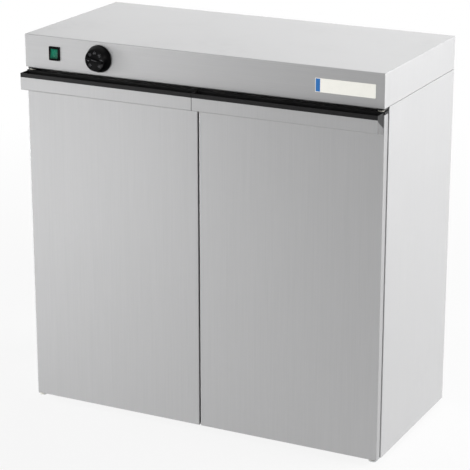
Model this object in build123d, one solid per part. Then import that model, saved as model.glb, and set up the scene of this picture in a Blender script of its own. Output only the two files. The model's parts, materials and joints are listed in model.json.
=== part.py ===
from build123d import *

import os

# A counter-height plate warmer cabinet with two hinged doors, one STEP file per named piece.
# Millimetres. +X is the user's right, +Y runs from the doors to the back, +Z is up. The origin is on the
# floor, under the middle of the box that holds the whole cabinet.

# ---- driving sizes -------------------------------------------------------------------------------------
CASE_WIDTH = 850.0
CASE_DEPTH = 400.0
CASE_HEIGHT = 850.0
FOOT_HEIGHT = 10.0
HOOD_HEIGHT = 73.0
SHEET = 1.0  # stainless sheet
BEND = 2.0  # outside radius of a folded edge
TOUCH = 0.1  # clearance between sheets that slip into each other
WELD_LAP = 0.5  # how far two joined sheets run into each other

DOOR_SETBACK = 4.0  # hood's front face to the doors' faces
DOOR_THICKNESS = 18.0
DOOR_GAP = 5.5  # doors' backs to the case's front frame
DOOR_SIDE_INSET = 1.2
MEETING_GAP = 3.0
DOOR_FLOOR_GAP = 2.5  # case's underside to the doors' bottom edges

LIP_REACH = 31.0  # lip's front ahead of the door's face
LIP_END_INSET = 2.3  # door's outer edge to the lip's end
LIP_MEETING_GAP = 1.2  # between the two lips, which run a little past their doors' meeting edges
# These are measured down from the hood's underside.
GRIP_TOP_DROP = 9.0
CAP_TOP_DROP = 8.0
DOOR_TOP_DROP = 14.0
LIP_TOP_DROP = 18.0
LIP_BOTTOM_DROP = 46.0
LIP_ROOT_DROP = 54.4
GRIP_WALL = 2.5
END_CAP_WALL = 1.5

PIVOT_IN = 11.0  # door's outer edge to the hinge axis
PIVOT_BACK = 7.0  # door's face to the hinge axis
PIN_RADIUS = 4.0
PIN_CLEARANCE = 0.05
TOP_PLATE = 3.0
BOTTOM_PLATE = 2.5

RETURN_FRONT = 22.0  # width of the side panels' front returns
WALL_SPACE = 23.0  # outer skin to inner liner
RAIL_HEIGHT = 40.0
SILL_HEIGHT = 30.0
FALSE_FLOOR_TOP = 84.0
SHELF_TOPS = (306.0, 526.0)

SWITCH_X = -349.0
KNOB_X = -236.7
CONTROL_Z = 823.0
NAMEPLATE_AT = (338.5, 821.0)
NAMEPLATE_SIZE = (133.0, 29.0)
NAMEPLATE_THICKNESS = 0.8

GLAND_REACH = 17.0
GLAND_X = -330.0
GLAND_BORE = 5.0  # radius

# ---- places worked out from them -----------------------------------------------------------------------
HALF = CASE_WIDTH / 2
LIP_PROUD = LIP_REACH - DOOR_SETBACK
HOOD_FRONT = LIP_PROUD - (LIP_PROUD + CASE_DEPTH + GLAND_REACH) / 2
CASE_BACK = HOOD_FRONT + CASE_DEPTH
DOOR_FACE = HOOD_FRONT + DOOR_SETBACK
DOOR_BACK = DOOR_FACE + DOOR_THICKNESS
FRAME_FRONT = DOOR_BACK + DOOR_GAP
INNER_FRONT = FRAME_FRONT + SHEET + TOUCH

CASE_BOTTOM = FOOT_HEIGHT
CASE_TOP = CASE_BOTTOM + CASE_HEIGHT
HOOD_BOTTOM = CASE_TOP - HOOD_HEIGHT
BODY_TOP = HOOD_BOTTOM - SHEET
BASE_SHEET = CASE_BOTTOM + SHEET
BASE_TOP = BASE_SHEET + SHEET
RAIL_BOTTOM = BODY_TOP - RAIL_HEIGHT
SILL_TOP = CASE_BOTTOM + SILL_HEIGHT
FLOOR_LINER = SILL_TOP - 2 * SHEET

DOOR_OUT = HALF - DOOR_SIDE_INSET
DOOR_IN = MEETING_GAP / 2
DOOR_BOTTOM = CASE_BOTTOM + DOOR_FLOOR_GAP
GRIP_TOP = HOOD_BOTTOM - GRIP_TOP_DROP
CAP_TOP = HOOD_BOTTOM - CAP_TOP_DROP
DOOR_TOP = HOOD_BOTTOM - DOOR_TOP_DROP
LIP_TOP = HOOD_BOTTOM - LIP_TOP_DROP
LIP_BOTTOM = HOOD_BOTTOM - LIP_BOTTOM_DROP
LIP_ROOT = HOOD_BOTTOM - LIP_ROOT_DROP
LIP_ENDS = (LIP_MEETING_GAP / 2, DOOR_OUT - LIP_END_INSET)

PIVOT_X = DOOR_OUT - PIVOT_IN
PIVOT_Y = DOOR_FACE + PIVOT_BACK
RETURN_X = HALF - RETURN_FRONT
CHAMBER_HALF = RETURN_X - SHEET
LINER_BACK = CASE_BACK - WALL_SPACE - 2 * SHEET
BACK_PANEL = (CASE_BACK - 2 * SHEET, CASE_BACK - SHEET)


# ---- shared shapes -------------------------------------------------------------------------------------
def block(x, y, z):
    """A box between a low and a high limit on each axis."""
    middle = Pos((x[0] + x[1]) / 2, (y[0] + y[1]) / 2, (z[0] + z[1]) / 2)
    return middle * Box(x[1] - x[0], y[1] - y[0], z[1] - z[0])


def rod(start, end, radius):
    """A round bar between two points."""
    run = Vector(*end) - Vector(*start)
    return extrude(Plane(origin=start, z_dir=run) * Circle(radius), run.length)


def rod_y(x, z, y, radius):
    """A round bar that runs from front to back between two Y limits."""
    return rod((x, y[0], z), (x, y[1], z), radius)


def rod_z(x, y, z, radius):
    """An upright round bar between two heights."""
    return rod((x, y, z[0]), (x, y, z[1]), radius)


def mirrored(piece):
    """The left-hand copy of a right-hand piece."""
    return mirror(piece, about=Plane.YZ)


def both_sides(pieces):
    """The right-hand pieces and their left-hand copies as one group."""
    return Compound(pieces + [mirrored(piece) for piece in pieces])


def sheet_section(points, bend=BEND, side=Side.LEFT):
    """The cut edge of a sheet folded along a line of points, as a face."""
    return make_face(offset(FilletPolyline(*points, radius=bend), amount=SHEET, side=side))


def folded_along_x(points, x, **options):
    """A sheet folded in the YZ plane and running between two X limits."""
    return extrude(Plane.YZ.offset(x[0]) * sheet_section(points, **options), x[1] - x[0])


def folded_along_z(points, z, **options):
    """A sheet folded in plan and running between two heights."""
    return extrude(Plane.XY.offset(z[0]) * sheet_section(points, **options), z[1] - z[0])


def bar_along_x(points, x):
    """A solid bar whose YZ section is a polygon."""
    return extrude(Plane.YZ.offset(x[0]) * make_face(Polyline(*points, close=True)), x[1] - x[0])


def tube_along(path, radius):
    """A round tube swept along a path of straight runs and arcs."""
    return sweep(Plane(origin=path @ 0, z_dir=path % 0) * Circle(radius), path=path)


def pan_screw(origin, direction, shank=2.0, length=4.0, head=3.8, head_height=2.2):
    """A slotted pan-head screw whose head seats at the origin and whose shank runs along the direction."""
    seat = Plane(origin=origin, z_dir=direction)
    crown = seat.offset(-head_height)
    top = extrude(crown * Circle(head), head_height)
    top = chamfer(top.edges().group_by(Axis(origin, direction))[0], 0.7)
    slot = extrude(crown * Rectangle(3 * head, 0.9), 0.8)
    return top + extrude(seat * Circle(shank), length) - slot


def ahead(points):
    """Points given as (distance ahead of the doors' faces, height), turned into (Y, Z)."""
    return [(DOOR_FACE - reach, height) for reach, height in points]


# ---- casing --------------------------------------------------------------------------------------------
SWITCH_HOLE = (22.4, 28.0)
BUSH_RADIUS = 5.0
GLAND_THREAD = 10.0
HOOD_SCREWS_X = (-380.0, 0.0, 380.0)
HOOD_SCREW_Z = HOOD_BOTTOM + 8.0
THERMOSTAT_SCREW = 14.0  # either side of the knob's axis
BACK_SCREWS_X = (-HALF + 8.0, HALF - 8.0)
BACK_SCREWS_Z = (60.0, 280.0, 500.0, 720.0)
SCREW_RADIUS = 2.0
FEET_AT = [(x, y) for x in (-360.0, 360.0) for y in (-105.0, 150.0)]
FOOT_SCREW = 2.5
VENTS = 9
VENT_STEP = 34.0
VENT_SLOT = (24.0, 5.0)


def vent_row(x, z):
    """A row of level cooling slots that cuts through the back sheets."""
    slot = extrude(Plane.XZ * SlotOverall(*VENT_SLOT), 6.0, both=True)
    return [Pos(x + VENT_STEP * i, CASE_BACK, z) * slot for i in range(VENTS)]


def make_top_hood():
    """A folded pan that carries the controls: a top, four walls and inward returns below."""
    walls_x, walls_y = (-HALF + SHEET, HALF - SHEET), (HOOD_FRONT + SHEET, CASE_BACK - SHEET)
    through = (HOOD_BOTTOM - 1, HOOD_BOTTOM + 2)
    front, back = (HOOD_FRONT - 1, HOOD_FRONT + 2), (CASE_BACK - 2, CASE_BACK + 1)
    hood = block((-HALF, HALF), (HOOD_FRONT, CASE_BACK), (HOOD_BOTTOM, CASE_TOP))
    hood = fillet(hood.edges().filter_by(Axis.Z) + hood.edges().group_by(Axis.Z)[-1], BEND)
    hood -= block(walls_x, walls_y, (HOOD_BOTTOM + SHEET, CASE_TOP - SHEET))
    hood -= block((-HALF + 12.0, HALF - 12.0), (HOOD_FRONT + 34.0, walls_y[1]), through)
    hood -= block(walls_x, (CASE_BACK - 12.0, walls_y[1]), through)
    half_x, half_z = SWITCH_HOLE[0] / 2, SWITCH_HOLE[1] / 2
    hood -= block((SWITCH_X - half_x, SWITCH_X + half_x), front, (CONTROL_Z - half_z, CONTROL_Z + half_z))
    hood -= rod_y(KNOB_X, CONTROL_Z, front, BUSH_RADIUS)
    hood -= [rod_y(KNOB_X + x, CONTROL_Z, front, SCREW_RADIUS) for x in (-THERMOSTAT_SCREW, THERMOSTAT_SCREW)]
    hood -= rod_y(GLAND_X, CONTROL_Z, back, GLAND_THREAD)
    hood -= [rod_y(x, HOOD_SCREW_Z, back, SCREW_RADIUS) for x in HOOD_SCREWS_X]
    return hood - (vent_row(60.0, CONTROL_Z + 8.0) + vent_row(60.0, CONTROL_Z - 6.0))


def make_side_panel():
    """The right-hand side: a web with returns at the front, back, top and bottom."""
    plan = [(RETURN_X, FRAME_FRONT), (HALF, FRAME_FRONT), (HALF, CASE_BACK), (HALF - 15.0, CASE_BACK)]
    panel = folded_along_z(plan, (CASE_BOTTOM, BODY_TOP))
    across = (RETURN_X, HALF - SHEET + WELD_LAP)
    inner_back = CASE_BACK - SHEET + WELD_LAP
    panel += block(across, (FRAME_FRONT + SHEET - WELD_LAP, inner_back), (BODY_TOP - SHEET, BODY_TOP))
    panel += block(across, (FRAME_FRONT + 60.0, inner_back), (CASE_BOTTOM, BASE_SHEET))
    notch_x, notch_y = (RETURN_X - 1, HALF - SHEET - TOUCH), (FRAME_FRONT - 1, FRAME_FRONT + SHEET)
    panel -= block(notch_x, notch_y, (BODY_TOP - SHEET - TOP_PLATE - 0.5, BODY_TOP - SHEET))
    panel -= block(notch_x, notch_y, (CASE_BOTTOM - 1, BASE_SHEET + 0.3))
    panel -= [rod_y(BACK_SCREWS_X[1], z, (CASE_BACK - 2, CASE_BACK + 1), SCREW_RADIUS) for z in BACK_SCREWS_Z]
    top = (BODY_TOP - 2 * SHEET, BODY_TOP + 1)
    return panel - [rod_z(PIVOT_X, y, top, SCREW_RADIUS) for y in TOP_SCREWS_Y]


def make_back_panel():
    """The outer back sheet, with rows of slots near its foot and its head."""
    edge = HALF - BEND - TOUCH
    panel = block((-edge, edge), BACK_PANEL, (BASE_TOP, BODY_TOP - SHEET - TOUCH))
    panel -= vent_row(-136.0, 90.0) + vent_row(-136.0, 104.0) + vent_row(-136.0, 752.0)
    through = (BACK_PANEL[0] - 1, CASE_BACK)
    return panel - [rod_y(x, z, through, SCREW_RADIUS) for x in BACK_SCREWS_X for z in BACK_SCREWS_Z]


def make_base_pan():
    """The bottom sheet with its front sill, back upturn and side upturns."""
    back = BACK_PANEL[0] - TOUCH
    section = [(FRAME_FRONT + 20.0, SILL_TOP), (FRAME_FRONT, SILL_TOP), (FRAME_FRONT, BASE_SHEET),
               (back, BASE_SHEET), (back, BASE_SHEET + 20.0)]
    pan = folded_along_x(section, (-RETURN_X + TOUCH, RETURN_X - TOUCH), bend=1.5)
    edge, deep = HALF - SHEET - TOUCH, (INNER_FRONT + SHEET, back)
    side = block((RETURN_X - TOUCH - WELD_LAP, edge), deep, (BASE_SHEET, BASE_TOP))
    side += block((edge - SHEET, edge), deep, (BASE_SHEET, BASE_SHEET + 16.0))
    through = (BASE_SHEET - 1, BASE_TOP + 1)
    side -= [rod_z(PIVOT_X, y, through, SCREW_RADIUS) for y in BOTTOM_SCREWS_Y]
    pan = pan + side + mirrored(side)
    return pan - [rod_z(x, y, through, FOOT_SCREW) for x, y in FEET_AT]


def make_top_rail():
    """The front rail over the door opening, with a tab welded behind each end."""
    section = [(FRAME_FRONT + 25.0, RAIL_BOTTOM), (FRAME_FRONT, RAIL_BOTTOM),
               (FRAME_FRONT, BODY_TOP), (FRAME_FRONT + 25.0, BODY_TOP)]
    rail = folded_along_x(section, (-RETURN_X + TOUCH, RETURN_X - TOUCH), bend=1.5, side=Side.RIGHT)
    tab = block((RETURN_X - 15.0, RETURN_X + 15.0), (FRAME_FRONT + SHEET, FRAME_FRONT + 2 * SHEET),
                (RAIL_BOTTOM + 4.0, BODY_TOP - 7.0))
    return rail + tab + mirrored(tab)


GROMMET_AT = (-300.0, 120.0)
GROMMET_RADIUS = 11.0


def make_deck():
    """The lid of the heated body, under the hood, with an upturn for the hood's screws."""
    back = CASE_BACK - SHEET - TOUCH
    deck = block((-HALF + 2.0, HALF - 2.0), (FRAME_FRONT + SHEET, back), (BODY_TOP, HOOD_BOTTOM))
    deck += block((-HALF + 13.0, HALF - 13.0), (back - SHEET, back), (BODY_TOP, HOOD_BOTTOM + 15.0))
    deck -= rod_z(*GROMMET_AT, (BODY_TOP - 1, HOOD_BOTTOM + 1), GROMMET_RADIUS)
    return deck - [rod_y(x, HOOD_SCREW_Z, (back - 2, back + 1), SCREW_RADIUS) for x in HOOD_SCREWS_X]


def make_nameplate():
    """The thin plate on the hood's front, with rounded corners."""
    plate = extrude(Plane.XZ * RectangleRounded(*NAMEPLATE_SIZE, 2.0), NAMEPLATE_THICKNESS)
    return Pos(NAMEPLATE_AT[0], HOOD_FRONT, NAMEPLATE_AT[1]) * plate


# ---- chamber lining and insulation ---------------------------------------------------------------------
WOOL_TOP = BODY_TOP - 8.0  # leaves room for the hinge plates' screws
LEAD_SLOT = (GROMMET_AT[0] - 10.0, GROMMET_AT[0] + 10.0)
LINER_HEIGHT = (FLOOR_LINER + SHEET, RAIL_BOTTOM + SHEET)


def make_wall_liner():
    """The chamber's sides and back in one folded sheet, drilled for the heater's two ends."""
    outer = block((-RETURN_X, RETURN_X), (INNER_FRONT + SHEET, LINER_BACK + SHEET), LINER_HEIGHT)
    outer = fillet(outer.edges().filter_by(Axis.Z).group_by(Axis.Y)[-1], BEND)
    inner = block((-CHAMBER_HALF, CHAMBER_HALF), (INNER_FRONT - CASE_DEPTH, LINER_BACK), LINER_HEIGHT)
    inner = fillet(inner.edges().filter_by(Axis.Z).group_by(Axis.Y)[-1], BEND - SHEET)
    liner = outer - inner
    liner -= block((-HALF, HALF), (INNER_FRONT, FRAME_FRONT + 26.0), (RAIL_BOTTOM - TOUCH, BODY_TOP))
    liner -= block((-HALF, HALF), (INNER_FRONT, FRAME_FRONT + 21.0), (0, SILL_TOP + TOUCH))
    through = (LINER_BACK - 1, LINER_BACK + 2)
    return liner - [rod_y(x, HEATER_Z, through, COLLAR_RADIUS) for x in HEATER_ENDS_X]


def make_ceiling_liner():
    """The chamber's ceiling, on the rail's lower flange, with a hole for the sensor's capillary."""
    height = (RAIL_BOTTOM + SHEET, RAIL_BOTTOM + 2 * SHEET)
    sheet = block((-RETURN_X, RETURN_X), (INNER_FRONT + SHEET, LINER_BACK + SHEET), height)
    return sheet - rod_z(*GROMMET_AT, (RAIL_BOTTOM, RAIL_BOTTOM + 3), 4.0)


def make_floor_liner():
    """The chamber's inner floor, under the sill's flange."""
    height = (FLOOR_LINER, FLOOR_LINER + SHEET)
    return block((-RETURN_X, RETURN_X), (INNER_FRONT + SHEET, LINER_BACK + SHEET), height)


def make_side_wool():
    """The right-hand insulation slab."""
    return block((RETURN_X + TOUCH, HALF - 2 * SHEET - 2 * TOUCH), (INNER_FRONT + 2 * SHEET, LINER_BACK),
                 (BASE_TOP + 1.0, WOOL_TOP))


def make_back_wool():
    """The back insulation slab, cut away for the heater's ends and for the leads down to them."""
    slab = block((-RETURN_X, RETURN_X), (LINER_BACK + SHEET, BACK_PANEL[0] - SHEET),
                 (LINER_HEIGHT[0], WOOL_TOP))
    deep = (LINER_BACK, CASE_BACK)
    slab -= block((LEAD_SLOT[0], HEATER_ENDS_X[1] + 25.0), deep, (0, HEATER_Z + 25.0))
    return slab - block(LEAD_SLOT, deep, (0, BODY_TOP))


def make_top_wool():
    """The insulation above the ceiling, cut away for the capillary and the heater's leads."""
    slab = block((-RETURN_X, RETURN_X), (FRAME_FRONT + 26.0, LINER_BACK),
                 (RAIL_BOTTOM + 2 * SHEET, BODY_TOP - 2.0))
    return slab - block(LEAD_SLOT, (GROMMET_AT[1] - 10.0, CASE_BACK), (RAIL_BOTTOM, BODY_TOP))


def make_floor_wool():
    """The insulation between the base pan and the inner floor."""
    deep = (FRAME_FRONT + 4.0, LINER_BACK)
    return block((-RETURN_X + 1, RETURN_X - 1), deep, (BASE_TOP + 4.0, FLOOR_LINER))


# ---- heater --------------------------------------------------------------------------------------------
HEATER_RADIUS = 4.2
HEATER_Z = 58.0
HEATER_BEND = 38.0
HEATER_SIDE_X = 330.0
HEATER_FRONT_Y = -95.0
HEATER_BACK_Y = 60.0
HEATER_ENDS_X = (-60.0, 60.0)
HEATER_END_Y = LINER_BACK + 8.0
COLLAR_RADIUS = 7.0
BEAD = (3.6, 4.0)  # radius and length
STUD_RADIUS = 2.0
STUD_END_Y = HEATER_END_Y + 9.0
CLIP_SIZE = (14.0, 20.0)
CLIP_WALL = 1.5
HEATER_CLIPS = ((-200.0, HEATER_FRONT_Y, 0), (200.0, HEATER_FRONT_Y, 0),
                (-HEATER_SIDE_X, -20.0, 90), (HEATER_SIDE_X, -20.0, 90))


def make_heating_element():
    """One flat loop of tube, in and out through the back liner, with a hexagon collar at each end."""
    left, right = HEATER_ENDS_X
    corners = [(left, HEATER_END_Y), (left, HEATER_BACK_Y), (-HEATER_SIDE_X, HEATER_BACK_Y),
               (-HEATER_SIDE_X, HEATER_FRONT_Y), (HEATER_SIDE_X, HEATER_FRONT_Y),
               (HEATER_SIDE_X, HEATER_BACK_Y), (right, HEATER_BACK_Y), (right, HEATER_END_Y)]
    path = FilletPolyline(*[(x, y, HEATER_Z) for x, y in corners], radius=HEATER_BEND)
    element = tube_along(path, HEATER_RADIUS)
    for x in HEATER_ENDS_X:
        hexagon = Plane.XZ.offset(-LINER_BACK) * Pos(x, HEATER_Z) * RegularPolygon(11.0, 6)
        element += extrude(hexagon, 4.0) + rod_y(x, HEATER_Z, (LINER_BACK - 1, LINER_BACK + 6), COLLAR_RADIUS)
    return element


def make_heater_terminals():
    """A ceramic bead and a stud on each end of the element."""
    bead = (HEATER_END_Y, HEATER_END_Y + BEAD[1])
    stud = (bead[1], STUD_END_Y)
    return Compound([rod_y(x, HEATER_Z, bead, BEAD[0]) + rod_y(x, HEATER_Z, stud, STUD_RADIUS)
                     for x in HEATER_ENDS_X])


def make_heater_clips():
    """Four folded strips that stand on the floor liner and carry the element."""
    height = HEATER_Z - HEATER_RADIUS - FLOOR_LINER - SHEET
    strip = Box(CLIP_SIZE[0], CLIP_SIZE[1], height)
    strip -= Box(CLIP_SIZE[0] + 1, CLIP_SIZE[1] - 2 * CLIP_WALL, height - 2 * CLIP_WALL)
    level = FLOOR_LINER + SHEET + height / 2
    return Compound([Pos(x, y, level) * Rot(0, 0, turn) * strip for x, y, turn in HEATER_CLIPS])


# ---- false floor, shelves and runners ------------------------------------------------------------------
RUNNER = (14.0, 14.0, 1.5)  # width, height, wall
FALSE_FLOOR_SHEET = 1.2
SLOT_ROWS = 5
SLOTS_PER_ROW = 15
FLOOR_SLOT = (34.0, 7.0)
SHELF_BAR = 3.5  # radius of the shelf's frame
SHELF_CROSS_BAR = 3.0  # radius of its two cross bars
SHELF_WIRE = 2.0  # radius of its cross wires
WIRE_LAP = 0.8  # weld depth of a wire in the frame
SHELF_WIRES = 25
SHELF_HALF = CHAMBER_HALF - RUNNER[2] - 1.5
SHELF_DEPTH = (FRAME_FRONT + 14.0, LINER_BACK - 6.0)
SHELF_BAR_DROP = 2 * SHELF_WIRE - WIRE_LAP + SHELF_BAR  # shelf's top to its frame's axis


def make_false_floor():
    """The slotted plate that plates stand on over the heater, with its front and back edges turned down."""
    half = SHELF_HALF
    deep = (FRAME_FRONT + 8.0, LINER_BACK - 3.0)
    plate = block((-half, half), deep, (FALSE_FLOOR_TOP - FALSE_FLOOR_SHEET, FALSE_FLOOR_TOP))
    for y in (deep[0], deep[1] - FALSE_FLOOR_SHEET):
        plate += block((-half + RUNNER[0] + 2, half - RUNNER[0] - 2), (y, y + FALSE_FLOOR_SHEET),
                       (FALSE_FLOOR_TOP - 12.0, FALSE_FLOOR_TOP))
    slot = extrude(SlotOverall(*FLOOR_SLOT), 6.0, both=True)
    middle = (deep[0] + deep[1]) / 2
    places = GridLocations(50.0, 60.0, SLOTS_PER_ROW, SLOT_ROWS)
    return plate - [Pos(0, middle, FALSE_FLOOR_TOP) * place * slot for place in places]


def make_shelf():
    """A wire shelf with its top at zero: a round-cornered frame, two cross bars and welded wires."""
    frame_z = -SHELF_BAR_DROP
    bar_z = frame_z + SHELF_BAR - SHELF_CROSS_BAR
    front, back = SHELF_DEPTH
    half = SHELF_HALF - SHELF_BAR
    low, high = front + SHELF_BAR, back - SHELF_BAR
    corners = [(0, low, frame_z), (half, low, frame_z), (half, high, frame_z), (0, high, frame_z)]
    side = tube_along(FilletPolyline(*corners, radius=12.0), SHELF_BAR)
    bars = [rod((-half, y, bar_z), (half, y, bar_z), SHELF_CROSS_BAR)
            for y in (low + (high - low) / 3, high - (high - low) / 3)]
    step = 2 * half / (SHELF_WIRES + 1)
    wires = [rod_y(step * (i + 1) - half, -SHELF_WIRE, (front + 1, back - 1), SHELF_WIRE)
             for i in range(SHELF_WIRES)]
    return side + mirrored(side) + bars + wires


def make_runners():
    """The angle strips on the chamber's sides that carry the false floor and the shelves."""
    width, height, wall = RUNNER
    levels = [FALSE_FLOOR_TOP - FALSE_FLOOR_SHEET] + [top - SHELF_BAR_DROP - SHELF_BAR for top in SHELF_TOPS]
    strips = []
    for level in levels:
        deep = (FRAME_FRONT + 12.0, LINER_BACK - 2.0)
        strip = block((CHAMBER_HALF - width, CHAMBER_HALF), deep, (level - wall, level))
        strips.append(strip + block((CHAMBER_HALF - wall, CHAMBER_HALF), deep, (level - height, level)))
    return both_sides(strips)


# ---- hinges, catches and buffers -----------------------------------------------------------------------
PLATE_X = (PIVOT_X - 8.0, PIVOT_X + 9.5)
TOP_PLATE_Z = (BODY_TOP - SHEET - TOP_PLATE, BODY_TOP - SHEET)
TOP_SCREWS_Y = (FRAME_FRONT + 10.0, FRAME_FRONT + 20.0)
BOTTOM_PLATE_Z = (BASE_SHEET - BOTTOM_PLATE, BASE_SHEET)
BOTTOM_SCREWS_Y = (FRAME_FRONT + 14.0, FRAME_FRONT + 38.0)
BLOCK_HEIGHT = 22.0
PIN_REACH = 20.0  # how far a pin goes into its block
WASHER = (4.2, 7.0)  # bore and outside radius
RUN_GAP = 0.3  # between a washer and what turns over it
CATCH_X = (24.0, 70.0)
CATCH_Z = 762.0
CATCH_DEPTH = 4.2
STRIKE = 1.0
BUFFER_AT = (32.0, 28.0)


def hinge_plate(y, z, screws_y):
    """A flat hinge plate with a rounded nose, a pin hole and two screw holes."""
    plate = block(PLATE_X, y, z)
    plate = fillet(plate.edges().filter_by(Axis.Z).group_by(Axis.Y)[0], 6.0)
    through = (z[0] - 1, z[1] + 1)
    plate -= rod_z(PIVOT_X, PIVOT_Y, through, PIN_RADIUS)
    return plate - [rod_z(PIVOT_X, screw_y, through, SCREW_RADIUS) for screw_y in screws_y]


def make_hinge_plates():
    """The four plates, one over and one under each door."""
    top = hinge_plate((PIVOT_Y - 8.0, FRAME_FRONT + 25.0), TOP_PLATE_Z, TOP_SCREWS_Y)
    bottom = hinge_plate((PIVOT_Y - 8.0, FRAME_FRONT + 50.0), BOTTOM_PLATE_Z, BOTTOM_SCREWS_Y)
    return both_sides([top, bottom])


def make_hinge_pins():
    """The four pins, each riveted in its plate and running in a block inside the door."""
    block_top = DOOR_TOP - SHEET
    top = rod_z(PIVOT_X, PIVOT_Y, (block_top - PIN_REACH, TOP_PLATE_Z[1]), PIN_RADIUS)
    bottom = rod_z(PIVOT_X, PIVOT_Y, (BOTTOM_PLATE_Z[0], DOOR_BOTTOM + SHEET + PIN_REACH), PIN_RADIUS)
    return both_sides([top, bottom])


def make_hinge_washers():
    """The spacers between the plates and the doors."""
    pair = []
    for z in ((CAP_TOP + RUN_GAP, TOP_PLATE_Z[0]), (BOTTOM_PLATE_Z[1], DOOR_BOTTOM - RUN_GAP)):
        disc = rod_z(PIVOT_X, PIVOT_Y, z, WASHER[1])
        pair.append(disc - rod_z(PIVOT_X, PIVOT_Y, (z[0] - 1, z[1] + 1), WASHER[0]))
    return both_sides(pair)


def make_hinge_blocks():
    """The right-hand door's two nylon corner blocks, bored for the pins."""
    x = (DOOR_OUT - SHEET - TOUCH - 26.0, DOOR_OUT - SHEET - TOUCH)
    y = (DOOR_FACE + SHEET + TOUCH, DOOR_BACK - SHEET - TOUCH)
    heights = [(DOOR_TOP - SHEET - BLOCK_HEIGHT, DOOR_TOP - SHEET - TOUCH),
               (DOOR_BOTTOM + SHEET, DOOR_BOTTOM + SHEET + BLOCK_HEIGHT)]
    bore = rod_z(PIVOT_X, PIVOT_Y, (0, CASE_TOP), PIN_RADIUS + PIN_CLEARANCE)
    blanks = [block(x, y, z) for z in heights]
    return Compound([fillet(blank.edges().filter_by(Axis.Z), 1.2) - bore for blank in blanks])


def magnet_pocket(x):
    """Where a catch's magnet sits, given the catch's X limits."""
    y = (FRAME_FRONT - CATCH_DEPTH, FRAME_FRONT - 1)
    return block((x[0] + 8, x[1] - 8), y, (CATCH_Z - 4, CATCH_Z + 4))


def make_catches():
    """The two magnetic catches' housings on the top rail."""
    body = block(CATCH_X, (FRAME_FRONT - CATCH_DEPTH, FRAME_FRONT), (CATCH_Z - 7, CATCH_Z + 7))
    body = fillet(body.edges().filter_by(Axis.Y), 2.0) - magnet_pocket(CATCH_X)
    return both_sides([body])


def make_catch_magnets():
    """The magnets in the catches."""
    return both_sides([magnet_pocket(CATCH_X)])


def make_strike_plate():
    """The right-hand door's steel plate, which the magnet holds."""
    x = (CATCH_X[0] - 3, CATCH_X[1] + 3)
    plate = block(x, (DOOR_BACK, DOOR_BACK + STRIKE), (CATCH_Z - 9, CATCH_Z + 9))
    return fillet(plate.edges().filter_by(Axis.Y), 2.0)


def make_buffers():
    """The rubber buffers on the sill that the doors stop at."""
    buffer = rod_y(*BUFFER_AT, (FRAME_FRONT - DOOR_GAP + RUN_GAP, FRAME_FRONT), 5.0)
    return both_sides([fillet(buffer.edges().group_by(Axis.Y)[0], 1.5)])


# ---- doors ---------------------------------------------------------------------------------------------
FOLD_RUN = 4.0  # flat run of the face below the lip's fold
FLOOR_BACK = LIP_BOTTOM + 9.5  # the trough's floor where it meets its back wall
RIM_INNER = LIP_REACH - GRIP_WALL
RIM_FOOT = LIP_REACH - SHEET - TOUCH  # the part of the rim that slips inside the metal lip


def make_door_skin():
    """The right-hand door's outer sheet: face, returns, and the lip folded forward with a wall at each end."""
    plan = [(DOOR_IN, DOOR_BACK), (DOOR_IN, DOOR_FACE), (DOOR_OUT, DOOR_FACE), (DOOR_OUT, DOOR_BACK)]
    skin = folded_along_z(plan, (DOOR_BOTTOM, LIP_ROOT))
    skin -= block(LIP_ENDS, (DOOR_FACE - 1, DOOR_FACE + SHEET), (LIP_ROOT - FOLD_RUN, LIP_ROOT + 1))
    lip = ahead([(0, LIP_ROOT - FOLD_RUN), (0, LIP_ROOT), (LIP_REACH, LIP_BOTTOM), (LIP_REACH, LIP_TOP)])
    skin += folded_along_x(lip, LIP_ENDS, side=Side.RIGHT)
    skin -= block((0, DOOR_IN), (DOOR_FACE - 1, DOOR_BACK), (DOOR_BOTTOM, LIP_ROOT))
    inside, under_grip = LIP_REACH - WELD_LAP, LIP_TOP - 3 - TOUCH
    end_wall = ahead([(0, LIP_ROOT + WELD_LAP), (inside, LIP_BOTTOM + WELD_LAP), (inside, under_grip),
                      (RIM_FOOT, under_grip), (0, FLOOR_BACK - 5 - TOUCH)])
    skin += bar_along_x(end_wall, (LIP_ENDS[0], LIP_ENDS[0] + SHEET))
    skin += bar_along_x(end_wall, (LIP_ENDS[1] - SHEET, LIP_ENDS[1]))
    beside_lip = (LIP_ROOT - WELD_LAP, DOOR_TOP)
    skin += block((DOOR_IN, DOOR_IN + SHEET), (DOOR_FACE + SHEET, DOOR_BACK), beside_lip)
    corner = [(LIP_ENDS[1] + TOUCH, DOOR_FACE), (DOOR_OUT, DOOR_FACE), (DOOR_OUT, DOOR_BACK)]
    skin += folded_along_z(corner, beside_lip)
    skin += block((DOOR_IN + WELD_LAP, DOOR_OUT - WELD_LAP), (DOOR_FACE + WELD_LAP, DOOR_BACK),
                  (DOOR_BOTTOM, DOOR_BOTTOM + SHEET))
    return skin - rod_z(PIVOT_X, PIVOT_Y, (0, CASE_BOTTOM + 10.0), PIN_RADIUS + 0.5)


def make_door_liner():
    """The right-hand door's inner sheet, folded forward over the top."""
    x = (DOOR_IN + SHEET + TOUCH, DOOR_OUT - SHEET - TOUCH)
    section = [(DOOR_BACK, DOOR_BOTTOM + SHEET + TOUCH), (DOOR_BACK, DOOR_TOP),
               (DOOR_FACE + BEND, DOOR_TOP)]
    liner = folded_along_x(section, x, bend=1.2)
    return liner - rod_z(PIVOT_X, PIVOT_Y, (DOOR_TOP - 5.0, DOOR_TOP + 1), PIN_RADIUS + 0.5)


def make_door_wool():
    """The right-hand door's insulation."""
    return block((DOOR_IN + BEND, DOOR_OUT - BEND), (DOOR_FACE + SHEET + TOUCH, DOOR_BACK - SHEET - TOUCH),
                 (DOOR_BOTTOM + SHEET + BLOCK_HEIGHT + 1, DOOR_TOP - SHEET - BLOCK_HEIGHT - 1))


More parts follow.
